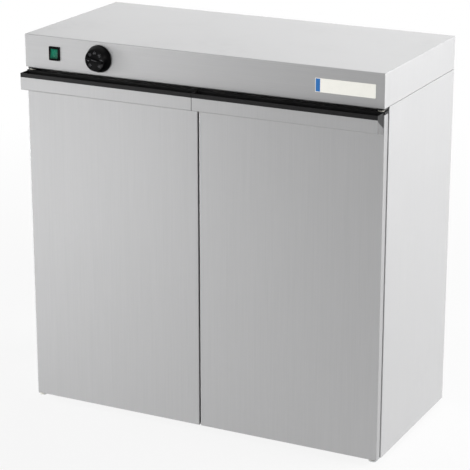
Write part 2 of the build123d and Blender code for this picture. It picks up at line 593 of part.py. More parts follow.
def make_door_grip():
    """The right-hand door's black profile: rim, sloping trough floor, back wall and cap over the door."""
    section = ahead([
        (LIP_REACH, LIP_TOP), (LIP_REACH, GRIP_TOP), (RIM_INNER, GRIP_TOP), (RIM_INNER, LIP_TOP + 1),
        (GRIP_WALL, FLOOR_BACK), (GRIP_WALL, CAP_TOP), (-SHEET, CAP_TOP), (-SHEET, FLOOR_BACK - 4),
        (0, FLOOR_BACK - 5), (RIM_FOOT, LIP_TOP - 3), (RIM_FOOT, LIP_TOP),
    ])
    grip = bar_along_x(section, (LIP_ENDS[0] + END_CAP_WALL, LIP_ENDS[1] - END_CAP_WALL))
    for height, radius in ((GRIP_TOP, 0.9), (FLOOR_BACK, 4.0)):
        edges = [edge for edge in grip.edges().filter_by(Axis.X) if abs(edge.center().Z - height) < 0.01]
        grip = fillet(edges, radius)
    grip += block((DOOR_IN, LIP_ENDS[1]), (DOOR_FACE, DOOR_FACE + SHEET), (LIP_ROOT + BEND, CAP_TOP))
    grip += block((DOOR_IN, DOOR_OUT), (DOOR_FACE, DOOR_BACK), (DOOR_TOP, CAP_TOP))
    return grip - rod_z(PIVOT_X, PIVOT_Y, (DOOR_TOP - 1, CAP_TOP + 1), PIN_RADIUS + 0.5)


def make_grip_caps():
    """The right-hand profile's two end caps."""
    section = ahead([(0, FLOOR_BACK - 5), (0, GRIP_TOP), (LIP_REACH, GRIP_TOP), (LIP_REACH, LIP_TOP),
                     (RIM_FOOT, LIP_TOP), (RIM_FOOT, LIP_TOP - 3)])
    inner = bar_along_x(section, (LIP_ENDS[0], LIP_ENDS[0] + END_CAP_WALL))
    outer = bar_along_x(section, (LIP_ENDS[1] - END_CAP_WALL, LIP_ENDS[1]))
    return Compound([inner, outer])


# ---- controls ------------------------------------------------------------------------------------------
BEZEL = (27.0, 31.0, 2.2)  # width, height, stand-off
SWITCH_BODY = (22.0, 27.6, 26.0)  # width, height, depth behind the panel
ROCKER_POCKET = (20.0, 25.2, 9.0)
ROCKER_PIVOT = 3.0  # behind the hood's front face
ROCKER_PIN = 1.5
ROCKER_WIDTH = 19.4
ROCKER_TILT = 8.0
ROCKER_SECTION = [(7.2, 11.2), (5.2, 0), (7.2, -11.2), (0, -11.2), (-3, -8), (-3, 8), (0, 11.2)]
BLADE = (6.3, 8.0, 0.8)  # terminal blade's width, length and thickness
KNOB_BASE, KNOB_FACE = 30.0, 23.5  # radii
KNOB_GAP = 1.0
KNOB_HEIGHT = 20.0
KNOB_GRIP = (40.0, 7.0, 3.0)
SHAFT_RADIUS = 3.0
THERMOSTAT = (36.0, 40.0, 26.0)
SWITCH_BACK = HOOD_FRONT + SWITCH_BODY[2]
THERMOSTAT_BACK = HOOD_FRONT + SHEET + THERMOSTAT[2]


def control_block(x, size, y):
    """A box centred on a control's axis, between two Y limits."""
    return block((x - size[0] / 2, x + size[0] / 2), y, (CONTROL_Z - size[1] / 2, CONTROL_Z + size[1] / 2))


def make_switch_body():
    """The rocker switch's housing and bezel in one moulding."""
    bezel = control_block(SWITCH_X, BEZEL, (HOOD_FRONT - BEZEL[2], HOOD_FRONT))
    bezel = fillet(bezel.edges().filter_by(Axis.Y) + bezel.edges().group_by(Axis.Y)[0], 1.2)
    body = bezel + control_block(SWITCH_X, SWITCH_BODY, (HOOD_FRONT, SWITCH_BACK))
    body -= control_block(SWITCH_X, ROCKER_POCKET, (HOOD_FRONT - 5, HOOD_FRONT + ROCKER_POCKET[2]))
    half = SWITCH_BODY[0] / 2
    pivot_y = HOOD_FRONT + ROCKER_PIVOT
    ends = [(x, pivot_y, CONTROL_Z) for x in (SWITCH_X - half, SWITCH_X + half)]
    return body - rod(*ends, ROCKER_PIN + PIN_CLEARANCE)


def make_rocker():
    """The lit rocker with its two pivot stubs, tipped with its top end in."""
    half = ROCKER_WIDTH / 2
    rocker = bar_along_x([(-reach, z) for reach, z in ROCKER_SECTION], (-half, half))
    rocker = fillet(rocker.edges().filter_by(Axis.X).group_by(Axis.Y)[0], 1.0)
    pin = SWITCH_BODY[0] / 2 - 0.2
    rocker += rod((-pin, 0, 0), (pin, 0, 0), ROCKER_PIN)
    return Pos(SWITCH_X, HOOD_FRONT + ROCKER_PIVOT, CONTROL_Z) * Rot(-ROCKER_TILT, 0, 0) * rocker


def make_thermostat_body():
    """The thermostat's case behind the hood's front, with the bush that its shaft turns in."""
    body = control_block(KNOB_X, THERMOSTAT, (HOOD_FRONT + SHEET, THERMOSTAT_BACK))
    body += rod_y(KNOB_X, CONTROL_Z, (HOOD_FRONT - 1, HOOD_FRONT + 2), BUSH_RADIUS)
    body -= rod_y(KNOB_X, CONTROL_Z, (HOOD_FRONT - 2, HOOD_FRONT + 12), SHAFT_RADIUS + PIN_CLEARANCE)
    screws = [rod_y(KNOB_X + x, CONTROL_Z, (HOOD_FRONT, HOOD_FRONT + 5), SCREW_RADIUS)
              for x in (-THERMOSTAT_SCREW, THERMOSTAT_SCREW)]
    return body - screws


def make_thermostat_shaft():
    """The shaft that carries the knob."""
    return rod_y(KNOB_X, CONTROL_Z, (HOOD_FRONT - 14, HOOD_FRONT + 11), SHAFT_RADIUS)


def make_knob():
    """The tapered knob: a hollow skirt with a hub inside and a grip bar across its face."""
    low, high = KNOB_GAP, KNOB_HEIGHT
    profile = [(0, high), (KNOB_FACE, high), (KNOB_BASE, low + 2), (KNOB_BASE, low), (KNOB_BASE - 3, low),
               (KNOB_BASE - 3, low + 4), (8, low + 4), (8, low + 1.5), (0, low + 1.5)]
    knob = revolve(Plane.XZ * make_face(Polyline(*profile, close=True)), Axis.Z)
    knob = fillet(knob.edges().group_by(Axis.Z)[-1], 1.5)
    bar = Pos(0, 0, high + KNOB_GRIP[2] / 2 - 0.5) * Box(KNOB_GRIP[0], KNOB_GRIP[1], KNOB_GRIP[2] + 1)
    bar = fillet(bar.edges().filter_by(Axis.Z), 3.0)
    knob += fillet(bar.edges().group_by(Axis.Z)[-1], 1.2)
    knob -= Cylinder(SHAFT_RADIUS, 14.0, align=(Align.CENTER, Align.CENTER, Align.MIN))
    return Pos(KNOB_X, HOOD_FRONT, CONTROL_Z) * Rot(90, 0, 0) * knob


def make_control_terminals():
    """The brass blades behind the switch and the thermostat."""
    blades = []
    for x, back in ((SWITCH_X, SWITCH_BACK), (KNOB_X, THERMOSTAT_BACK)):
        for dx in (-5.0, 5.0):
            blades.append(block((x + dx - BLADE[0] / 2, x + dx + BLADE[0] / 2), (back, back + BLADE[1]),
                                (CONTROL_Z - BLADE[2] / 2, CONTROL_Z + BLADE[2] / 2)))
    return Compound(blades)


BULB_Z = RAIL_BOTTOM - 9.0
BULB_X = (GROMMET_AT[0] + 45.0, GROMMET_AT[0] + 135.0)
BULB_RADIUS = 3.2
CAPILLARY_RADIUS = 0.9
LEAD_RADIUS = 1.4


def make_sensor():
    """The thermostat's capillary, down through the deck to the bulb under the chamber's ceiling."""
    x, y = GROMMET_AT
    low = CONTROL_Z - 12.0
    route = [(KNOB_X, THERMOSTAT_BACK, low), (KNOB_X, y, low), (x, y, low), (x, y, BULB_Z),
             (BULB_X[0], y, BULB_Z)]
    capillary = tube_along(FilletPolyline(*route, radius=12.0), CAPILLARY_RADIUS)
    return capillary + rod((BULB_X[0] - 1, y, BULB_Z), (BULB_X[1], y, BULB_Z), BULB_RADIUS)


def make_sensor_clips():
    """Two clips that hold the bulb under the ceiling."""
    y = GROMMET_AT[1]
    bulb = rod((BULB_X[0], y, BULB_Z), (BULB_X[1], y, BULB_Z), BULB_RADIUS)
    return Compound([block((x - 4, x + 4), (y - 5, y + 5), (BULB_Z - 4, RAIL_BOTTOM + SHEET)) - bulb
                     for x in (BULB_X[0] + 15.0, BULB_X[1] - 15.0)])


TERMINAL_BLOCK_X = (-372.0, -326.0)
TERMINAL_BLOCK_Y = (60.0, 80.0)
TERMINAL_BLOCK_Z = (HOOD_BOTTOM, HOOD_BOTTOM + 18.0)


def make_terminal_block():
    """The supply's terminal block on the deck."""
    body = block(TERMINAL_BLOCK_X, TERMINAL_BLOCK_Y, TERMINAL_BLOCK_Z)
    middle = (TERMINAL_BLOCK_X[0] + TERMINAL_BLOCK_X[1]) / 2
    y = (TERMINAL_BLOCK_Y[0] + TERMINAL_BLOCK_Y[1]) / 2
    deep = (TERMINAL_BLOCK_Z[1] - 10, TERMINAL_BLOCK_Z[1] + 1)
    return body - [rod_z(middle + dx, y, deep, 3.5) for dx in (-14, 0, 14)]


def make_leads():
    """The insulated leads: supply to switch, switch to thermostat, and two down to the heater."""
    blade_switch = SWITCH_BACK + BLADE[1]
    blade_thermostat = THERMOSTAT_BACK + BLADE[1]
    x, y = GROMMET_AT
    supply = [(SWITCH_X - 5, blade_switch, CONTROL_Z), (SWITCH_X - 5, 0, CONTROL_Z),
              (SWITCH_X - 5, 0, HOOD_BOTTOM + 6), (SWITCH_X - 5, TERMINAL_BLOCK_Y[0], HOOD_BOTTOM + 6)]
    link = [(SWITCH_X + 5, blade_switch, CONTROL_Z), (SWITCH_X + 5, -100, CONTROL_Z),
            (KNOB_X - 5, -100, CONTROL_Z), (KNOB_X - 5, blade_thermostat, CONTROL_Z)]
    high = HOOD_BOTTOM + 28.0
    heater_y = STUD_END_Y - 2
    feed = [(KNOB_X + 5, blade_thermostat, CONTROL_Z), (KNOB_X + 5, y + 5, CONTROL_Z),
            (x + 5, y + 5, CONTROL_Z), (x + 5, y + 5, BODY_TOP - 15), (x + 5, heater_y, BODY_TOP - 15),
            (x + 5, heater_y, HEATER_Z), (HEATER_ENDS_X[0] - STUD_RADIUS, heater_y, HEATER_Z)]
    back_low = HEATER_Z - 16.0
    neutral = [(TERMINAL_BLOCK_X[1], 70, HOOD_BOTTOM + 6), (x - 5, 70, HOOD_BOTTOM + 6), (x - 5, 70, high),
               (x - 5, y + 5, high), (x - 5, y + 5, BODY_TOP - 25), (x - 5, heater_y, BODY_TOP - 25),
               (x - 5, heater_y, back_low), (HEATER_ENDS_X[1], heater_y, back_low),
               (HEATER_ENDS_X[1], heater_y, HEATER_Z - STUD_RADIUS)]
    return Compound([tube_along(FilletPolyline(*route, radius=radius), LEAD_RADIUS)
                     for route, radius in ((supply, 8.0), (link, 10.0), (feed, 10.0), (neutral, 7.0))])


def make_grommet():
    """The rubber grommet that takes the leads through the deck."""
    ring = rod_z(*GROMMET_AT, (BODY_TOP - 2, HOOD_BOTTOM + 2), GROMMET_RADIUS + 2)
    groove = rod_z(*GROMMET_AT, (BODY_TOP, HOOD_BOTTOM), GROMMET_RADIUS + 4)
    groove -= rod_z(*GROMMET_AT, (BODY_TOP - 1, HOOD_BOTTOM + 1), GROMMET_RADIUS)
    return ring - groove - rod_z(*GROMMET_AT, (0, CASE_TOP), GROMMET_RADIUS - 2)


def make_gland():
    """The empty cable gland in the hood's back: hexagon, dome nut and thread."""
    hexagon = Plane.XZ.offset(-CASE_BACK) * Pos(GLAND_X, CONTROL_Z) * RegularPolygon(14.0, 6)
    gland = extrude(hexagon, -5.0)
    dome = rod_y(GLAND_X, CONTROL_Z, (CASE_BACK + 5, CASE_BACK + GLAND_REACH), 11.5)
    gland += fillet(dome.edges().group_by(Axis.Y)[-1], 3.0)
    gland += rod_y(GLAND_X, CONTROL_Z, (CASE_BACK - 10, CASE_BACK), GLAND_THREAD)
    return gland - rod_y(GLAND_X, CONTROL_Z, (CASE_BACK - 11, CASE_BACK + GLAND_REACH + 1), GLAND_BORE)


def make_gland_nut():
    """The gland's locknut inside the hood."""
    hexagon = Plane.XZ.offset(-(CASE_BACK - SHEET - 5)) * Pos(GLAND_X, CONTROL_Z) * RegularPolygon(14.0, 6)
    return extrude(hexagon, -5.0) - rod_y(GLAND_X, CONTROL_Z, (0, CASE_BACK), GLAND_THREAD)


# ---- feet and fasteners --------------------------------------------------------------------------------
FOOT_RADII = (17.0, 14.0)  # sole and top
FOOT_RECESS = 5.0


def make_feet():
    """Four rubber feet, each recessed below for its screw."""
    feet = []
    for x, y in FEET_AT:
        cone = Cone(*FOOT_RADII, BASE_SHEET, align=(Align.CENTER, Align.CENTER, Align.MIN))
        foot = Pos(x, y, 0) * fillet(cone.edges().group_by(Axis.Z)[0], 1.0)
        foot -= rod_z(x, y, (-1, FOOT_RECESS), 6.0)
        feet.append(foot - rod_z(x, y, (0, BASE_SHEET + 1), FOOT_SCREW))
    return Compound(feet)


def make_feet_screws():
    """The feet's screws, with their heads inside the recesses."""
    up, length = (0, 0, 1), BASE_TOP + 3 - FOOT_RECESS
    return Compound([pan_screw((x, y, FOOT_RECESS), up, FOOT_SCREW, length, 4.5, 2.5) for x, y in FEET_AT])


def make_case_screws():
    """The screws of the hood, the back panel, the thermostat and the hinge plates."""
    inward, up = (0, -1, 0), (0, 0, 1)
    hood = [pan_screw((x, CASE_BACK, HOOD_SCREW_Z), inward) for x in HOOD_SCREWS_X]
    back = [pan_screw((x, CASE_BACK, z), inward) for x in BACK_SCREWS_X for z in BACK_SCREWS_Z]
    thermostat = [pan_screw((KNOB_X + x, HOOD_FRONT, CONTROL_Z), (0, 1, 0))
                  for x in (-THERMOSTAT_SCREW, THERMOSTAT_SCREW)]
    hinges = [pan_screw((x, y, TOP_PLATE_Z[0]), up) for x in (-PIVOT_X, PIVOT_X) for y in TOP_SCREWS_Y]
    hinges += [pan_screw((x, y, BOTTOM_PLATE_Z[0]), up) for x in (-PIVOT_X, PIVOT_X) for y in BOTTOM_SCREWS_Y]
    return Compound(hood + back + thermostat + hinges)


# ---- every named piece ---------------------------------------------------------------------------------
def make_pieces():
    """All the cabinet's nodes by name."""
    shelf = make_shelf()
    pieces = {
        "top_hood": make_top_hood(),
        "back_panel": make_back_panel(),
        "base_pan": make_base_pan(),
        "top_rail": make_top_rail(),
        "deck": make_deck(),
        "nameplate": make_nameplate(),
        "liner_walls": make_wall_liner(),
        "liner_ceiling": make_ceiling_liner(),
        "liner_floor": make_floor_liner(),
        "insulation_back": make_back_wool(),
        "insulation_top": make_top_wool(),
        "insulation_floor": make_floor_wool(),
        "heating_element": make_heating_element(),
        "heater_terminals": make_heater_terminals(),
        "heater_clips": make_heater_clips(),
        "false_floor": make_false_floor(),
        "shelf_lower": Pos(0, 0, SHELF_TOPS[0]) * shelf,
        "shelf_upper": Pos(0, 0, SHELF_TOPS[1]) * shelf,
        "shelf_runners": make_runners(),
        "hinge_plates": make_hinge_plates(),
        "hinge_pins": make_hinge_pins(),
        "hinge_washers": make_hinge_washers(),
        "catch_housings": make_catches(),
        "catch_magnets": make_catch_magnets(),
        "door_buffers": make_buffers(),
        "switch_body": make_switch_body(),
        "switch_rocker": make_rocker(),
        "thermostat_body": make_thermostat_body(),
        "thermostat_shaft": make_thermostat_shaft(),
        "thermostat_knob": make_knob(),
        "control_terminals": make_control_terminals(),
        "temperature_sensor": make_sensor(),
        "sensor_clips": make_sensor_clips(),
        "terminal_block": make_terminal_block(),
        "internal_leads": make_leads(),
        "lead_grommet": make_grommet(),
        "cable_gland": make_gland(),
        "gland_locknut": make_gland_nut(),
        "feet": make_feet(),
        "feet_screws": make_feet_screws(),
        "case_screws": make_case_screws(),
    }
    handed = {
        "side_panel": make_side_panel(),
        "insulation_side": make_side_wool(),
        "door_skin": make_door_skin(),
        "door_liner": make_door_liner(),
        "door_insulation": make_door_wool(),
        "door_grip": make_door_grip(),
        "grip_end_caps": make_grip_caps(),
        "hinge_blocks": make_hinge_blocks(),
        "strike_plate": make_strike_plate(),
    }
    for name, piece in handed.items():
        pieces[name + "_right"] = piece
        pieces[name + "_left"] = mirrored(piece)
    return pieces


def main():
    """Write each piece to its own file."""
    os.makedirs("parts", exist_ok=True)
    for name, piece in make_pieces().items():
        export_step(piece, f"parts/{name}.step")


if __name__ == "__main__":
    main()
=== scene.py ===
"""Looks of a two-door plate warmer cabinet: finishes, controls, nameplate, cable gland and a studio."""

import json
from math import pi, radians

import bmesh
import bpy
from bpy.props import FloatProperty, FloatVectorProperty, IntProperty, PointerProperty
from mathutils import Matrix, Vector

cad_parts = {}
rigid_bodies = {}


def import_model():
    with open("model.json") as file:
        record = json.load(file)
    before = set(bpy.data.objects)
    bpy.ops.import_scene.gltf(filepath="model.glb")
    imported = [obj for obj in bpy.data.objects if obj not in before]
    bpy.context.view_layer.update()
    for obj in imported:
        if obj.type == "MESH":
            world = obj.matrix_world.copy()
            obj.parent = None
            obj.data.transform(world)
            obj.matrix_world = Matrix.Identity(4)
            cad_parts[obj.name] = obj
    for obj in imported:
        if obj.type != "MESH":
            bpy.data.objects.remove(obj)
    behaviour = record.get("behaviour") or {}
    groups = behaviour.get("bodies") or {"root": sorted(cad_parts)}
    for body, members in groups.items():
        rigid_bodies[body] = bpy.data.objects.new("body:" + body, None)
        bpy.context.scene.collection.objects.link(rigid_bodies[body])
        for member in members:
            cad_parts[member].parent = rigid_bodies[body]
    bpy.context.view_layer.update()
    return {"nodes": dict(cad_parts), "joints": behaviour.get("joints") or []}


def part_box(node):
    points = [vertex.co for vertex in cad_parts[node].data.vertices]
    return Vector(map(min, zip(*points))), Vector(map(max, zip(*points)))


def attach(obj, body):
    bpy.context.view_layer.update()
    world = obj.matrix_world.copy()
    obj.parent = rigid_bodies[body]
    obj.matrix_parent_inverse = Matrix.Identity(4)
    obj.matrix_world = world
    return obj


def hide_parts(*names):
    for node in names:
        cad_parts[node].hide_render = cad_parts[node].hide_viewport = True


bl_info = {
    "name": "Plate Warmer Cabinet",
    "version": (1, 0, 0),
    "blender": (4, 5, 0),
    "location": "3D View > Sidebar > Plate Warmer",
    "description": "Finishes, controls and studio for a two-door plate warmer cabinet",
    "category": "Object",
}

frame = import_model()
NODES = frame["nodes"]
PIVOTS = {joint["name"]: Vector(joint["pos_m"]) for joint in frame["joints"]}

MM = 0.001
TOUCHING = 1e-6  # points nearer than this are one point
ALIGNED = 0.99  # two unit vectors point the same way where their dot product is above this
FLOOR_TO_FRONT = Matrix.Rotation(radians(90), 4, "X")  # stands up what is drawn on the floor plane


# Settings that a user would change

def setting(kind, **look):
    """Makes a short call that asks for one kind of property."""
    def ask(name, description, default, **limits):
        return kind(name=name, description=description, default=default, **look, **limits)
    return ask


length = setting(FloatProperty, unit="LENGTH", min=0.0, precision=4)
position = setting(FloatVectorProperty, unit="LENGTH", subtype="XYZ")
angle = setting(FloatProperty, subtype="ANGLE")
colour = setting(FloatVectorProperty, subtype="COLOR", min=0.0, max=1.0)
power = setting(FloatProperty, unit="POWER", min=0.0)
number = setting(FloatProperty)
whole = setting(IntProperty)


class SheetSettings(bpy.types.PropertyGroup):
    """The stainless sheets, outside and inside."""

    outer: colour("Outer sheet", "Colour of the brushed outer sheets", (0.453, 0.453, 0.457))
    inner: colour("Inner sheet", "Colour of the mill-finished inner sheets", (0.50, 0.50, 0.495))
    streak: length("Streak length", "Length of a streak in the brushed grain", 0.16)
    pitch: length("Streak pitch", "Distance from one streak to the next", 0.0011)


class MouldingSettings(bpy.types.PropertyGroup):
    """The black mouldings."""

    grip: colour("Grip", "Colour of the fine-textured door grips", (0.010, 0.010, 0.0105))
    gloss: colour("Gloss moulding", "Colour of the knob, the switch and the gland", (0.0035, 0.0035, 0.004))


class KnobSettings(bpy.types.PropertyGroup):
    """The thermostat knob."""

    lowest: whole("Lowest", "First number of the scale", 30, min=0)
    step: whole("Step", "Step from one number to the next", 10, min=1)
    count: whole("Numbers", "How many numbers the scale has", 7, min=2, max=12)
    sweep: angle("Sweep", "Angle from the first number to the last", radians(270))
    lean: angle("Grip lean", "How far the grip bar leans from level", radians(12))
    numeral: length("Number height", "Height of the numbers", 0.0050)
    marking: colour("Markings", "Colour of the numbers and the pointer line", (0.11, 0.11, 0.12))


class SwitchSettings(bpy.types.PropertyGroup):
    """The lit rocker switch."""

    lens: colour("Lens", "Colour of the tinted rocker", (0.002, 0.196, 0.114))
    lens_height: length("Lens height", "Height of the tinted part of the rocker", 0.0208)
    glow: number("Glow", "Strength of the lamp behind the lens", 0.10, min=0.0)


class NameplateSettings(bpy.types.PropertyGroup):
    """The blank nameplate."""

    field: colour("Field", "Colour of the lacquered field", (0.93, 0.92, 0.86))
    band: colour("Band", "Colour of the plain band at its left end", (0.04, 0.175, 0.47))
    band_width: length("Band width", "Width of the plain band", 0.0100)


class StudioSettings(bpy.types.PropertyGroup):
    """The camera, the floor and the lamps."""

    camera: position("Camera", "Where the camera stands", (1.816, -3.651, 1.735))
    tilt: angle("Tilt", "How far the camera looks down", radians(18.1))
    turn: angle("Turn", "How far the camera is turned to the left", radians(26.55))
    lens: number("Lens", "Focal length in millimetres", 146.0, min=10.0)
    floor: colour("Floor", "Colour of the floor", (0.86, 0.86, 0.86))
    fill: number("Room light", "Level of the even light from all round", 0.23, min=0.0)
    side: power("Side lamp", "Power of the large lamp at the right", 270.0)
    top: power("Top lamp", "Power of the lamp overhead", 9.8)
    front: power("Front lamp", "Power of the tall lamp at the front", 1.06)
    key: power("Key lamp", "Power of the lamp that grazes the doors from the left", 3.2)
    back: power("Back lamp", "Power of the wide lamp behind the cabinet", 12.2)


SETTINGS = {
    "warmer_sheets": SheetSettings,
    "warmer_mouldings": MouldingSettings,
    "warmer_knob": KnobSettings,
    "warmer_switch": SwitchSettings,
    "warmer_nameplate": NameplateSettings,
    "warmer_studio": StudioSettings,
}


# Nodes

WHITE = (1.0, 1.0, 1.0)


def shade(values, factor):
    """A colour made darker or lighter by a factor."""
    return tuple(min(1.0, value * factor) for value in values)


class Wiring:
    """Short calls that add and join nodes in one node tree. Plain colours are given without an alpha."""

    def __init__(self, tree):
        self.tree = tree

    def feed(self, socket, value):
        """Links a socket, or sets it where the value is plain."""
        if isinstance(value, bpy.types.NodeSocket):
            self.tree.links.new(value, socket)
        elif socket.type == "RGBA":
            socket.default_value = (*value, 1.0)
        else:
            socket.default_value = value

    def add(self, kind, inputs=None, **settings):
        node = self.tree.nodes.new(kind)
        for name, value in settings.items():
            setattr(node, name, value)
        for name, value in (inputs or {}).items():
            self.feed(node.inputs[name], value)
        return node

    def math(self, operation, a, b=0.0):
        return self.add("ShaderNodeMath", {0: a, 1: b}, operation=operation).outputs[0]

    def vector(self, operation, a, b):
        return self.add("ShaderNodeVectorMath", {0: a, 1: b}, operation=operation).outputs[0]

    def split(self, vector):
        return self.add("ShaderNodeSeparateXYZ", {0: vector}).outputs

    def noise(self, vector, scale, detail=3.0, roughness=0.55):
        inputs = {"Vector": vector, "Scale": scale, "Detail": detail, "Roughness": roughness}
        return self.add("ShaderNodeTexNoise", inputs).outputs[0]

    def spread(self, value, low, high, to_low=0.0, to_high=1.0):
        """Maps low..high to to_low..to_high and holds the ends."""
        inputs = {0: value, 1: low, 2: high, 3: to_low, 4: to_high}
        return self.add("ShaderNodeMapRange", inputs).outputs[0]

    def between(self, mask, low, high):
        """A value that runs from low to high as a mask runs from 0 to 1."""
        return self.spread(mask, 0.0, 1.0, low, high)

    def raised(self, value, mask, amount):
        """A value that grows by the amount where the mask is."""
        return self.math("ADD", value, self.math("MULTIPLY", mask, amount))

    def mix(self, factor, a, b, blend="MIX"):
        inputs = {0: factor, 6: a, 7: b}
        return self.add("ShaderNodeMix", inputs, data_type="RGBA", blend_type=blend).outputs[2]

    def stain(self, tone, mask, amount, color):
        """Lays a colour over a tone where the mask is, as strongly as the amount says."""
        return self.mix(self.math("MULTIPLY", mask, amount), tone, color)

    def darken(self, tone, mask, factor):
        """Multiplies a tone by a factor where the mask is."""
        return self.mix(mask, tone, (factor, factor, factor), blend="MULTIPLY")


class Finish(Wiring):
    """A material whose shader is fed from the object's own coordinates."""

    def __init__(self, name, **constants):
        self.material = bpy.data.materials.new(name)
        self.material.use_nodes = True
        super().__init__(self.material.node_tree)
        self.shader = self.tree.nodes["Principled BSDF"]
        place = self.add("ShaderNodeTexCoord")
        self.point, self.facing = place.outputs["Object"], place.outputs["Normal"]
        for label, value in constants.items():
            self.feed(self.shader.inputs[label.replace("_", " ")], value)

    def pattern(self, tree, **values):
        """Adds a shared group that reads where the surface is and, if it asks, which way it faces."""
        node = self.add("ShaderNodeGroup", node_tree=tree)
        self.feed(node.inputs["Point"], self.point)
        if "Facing" in node.inputs:
            self.feed(node.inputs["Facing"], self.facing)
        for label, value in values.items():
            self.feed(node.inputs[label.replace("_", " ")], value)
        return node.outputs

    def paint(self, color, roughness):
        self.feed(self.shader.inputs["Base Color"], color)
        self.feed(self.shader.inputs["Roughness"], roughness)

    def emboss(self, height, strength, depth):
        """Raises the surface by a height of 0..1 over the depth in metres."""
        bump = self.add("ShaderNodeBump", {"Height": height, "Strength": strength, "Distance": depth})
        self.feed(self.shader.inputs["Normal"], bump.outputs[0])


def shared_group(name, wire, **inputs):
    """Makes a node group the first time that it's asked for. Its inputs start with a number or a vector."""
    if name in bpy.data.node_groups:
        return bpy.data.node_groups[name]
    tree = bpy.data.node_groups.new(name, "ShaderNodeTree")
    for label, value in {"Point": (0.0, 0.0, 0.0), **inputs}.items():
        kind = "NodeSocketFloat" if isinstance(value, float) else "NodeSocketVector"
        socket = tree.interface.new_socket(label.replace("_", " "), in_out="INPUT", socket_type=kind)
        socket.default_value = value
    made = wire(Wiring(tree), tree.nodes.new("NodeGroupInput").outputs)
    for label in made:
        tree.interface.new_socket(label, in_out="OUTPUT", socket_type="NodeSocketFloat")
    leave = tree.nodes.new("NodeGroupOutput").inputs
    for label, socket in made.items():
        tree.links.new(socket, leave[label])
    return tree


UP, EVEN = (0.0, 0.0, 1.0), (1.0, 1.0, 1.0)
SIDEWAYS = 0.6  # a wall faces sideways where its normal's share along X is above this
BAND = 0.13  # width of a streak over that of the band it gathers into
SMEARS = 9.0  # smears to the width of a wipe mark
SHEEN = 0.02  # width of a grain over that of a change of sheen
DUST = 35.0  # patches of dust to the metre
PITS = 14.0  # pits to the width of a cloud


def brushed_grain():
    """Streaks of a brushed sheet: a fine grain and the soft bands that it gathers into."""
    def wire(nodes, given):
        across = nodes.math("ABSOLUTE", nodes.split(given["Facing"])[0])
        sideways = nodes.math("GREATER_THAN", across, SIDEWAYS)
        run = nodes.add("ShaderNodeMix", {0: sideways, 4: given["Run"], 5: given["Side Run"]},
                        data_type="VECTOR")
        stretched = nodes.vector("MULTIPLY", given["Point"], run.outputs[1])
        fine = nodes.spread(nodes.noise(stretched, 1.0, detail=4.0, roughness=0.65), 0.3, 0.7)
        bands = nodes.spread(nodes.noise(stretched, BAND, roughness=0.6), 0.3, 0.7)
        return {"Streak": fine, "Band": bands, "Sideways": sideways}
    return shared_group("Brushed grain", wire, Facing=UP, Run=EVEN, Side_Run=EVEN)


def handling_marks():
    """Faint wipe marks and finger smears, as a mask."""
    def wire(nodes, given):
        frequency = nodes.math("DIVIDE", 1.0, given["Size"])
        cloud = nodes.noise(given["Point"], frequency, roughness=0.6)
        fine = nodes.noise(given["Point"], nodes.math("MULTIPLY", frequency, SMEARS), detail=2.0)
        mask = nodes.math("MULTIPLY", nodes.spread(cloud, 0.48, 0.72), nodes.spread(fine, 0.35, 0.7))
        return {"Mask": mask}
    return shared_group("Handling marks", wire, Size=150.0 * MM)


def moulded_grain():
    """The fine spark-eroded texture of a plastic moulding, and slow changes in its sheen."""
    def wire(nodes, given):
        frequency = nodes.math("DIVIDE", 1.0, given["Size"])
        grit = nodes.noise(given["Point"], frequency, detail=2.0, roughness=0.5)
        sheen = nodes.noise(given["Point"], nodes.math("MULTIPLY", frequency, SHEEN), detail=2.0)
        return {"Grit": grit, "Sheen": nodes.spread(sheen, 0.35, 0.65)}
    return shared_group("Moulded grain", wire, Size=0.6 * MM)


def settled_dust():
    """Dust on what faces up, as a mask."""
    def wire(nodes, given):
        upward = nodes.spread(nodes.split(given["Facing"])[2], 0.5, 0.95)
        patch = nodes.spread(nodes.noise(given["Point"], DUST, detail=4.0), 0.35, 0.75)
        return {"Mask": nodes.math("MULTIPLY", nodes.math("MULTIPLY", upward, patch), given["Amount"])}
    return shared_group("Settled dust", wire, Facing=UP, Amount=0.3)


def metal_mottle():
    """The cloudy tone of a plated, rolled or pressed metal, and its small pits."""
    def wire(nodes, given):
        frequency = nodes.math("DIVIDE", 1.0, given["Size"])
        cloud = nodes.noise(given["Point"], frequency, detail=4.0, roughness=0.6)
        pits = nodes.noise(given["Point"], nodes.math("MULTIPLY", frequency, PITS), detail=2.0)
        return {"Cloud": nodes.spread(cloud, 0.3, 0.7), "Pits": nodes.spread(pits, 0.25, 0.6)}
    return shared_group("Metal mottle", wire, Size=10.0 * MM)


# Finishes

ZINC = ((0.50, 0.52, 0.54), (0.66, 0.66, 0.62))  # the two ends of bright zinc's cloudy tone


def grain_run(axis, sheets):
    """How often the brushed grain repeats along each axis where it runs along one of them."""
    run = [1.0 / sheets.pitch] * 3
    run["XYZ".index(axis)] = 1.0 / sheets.streak
    return run


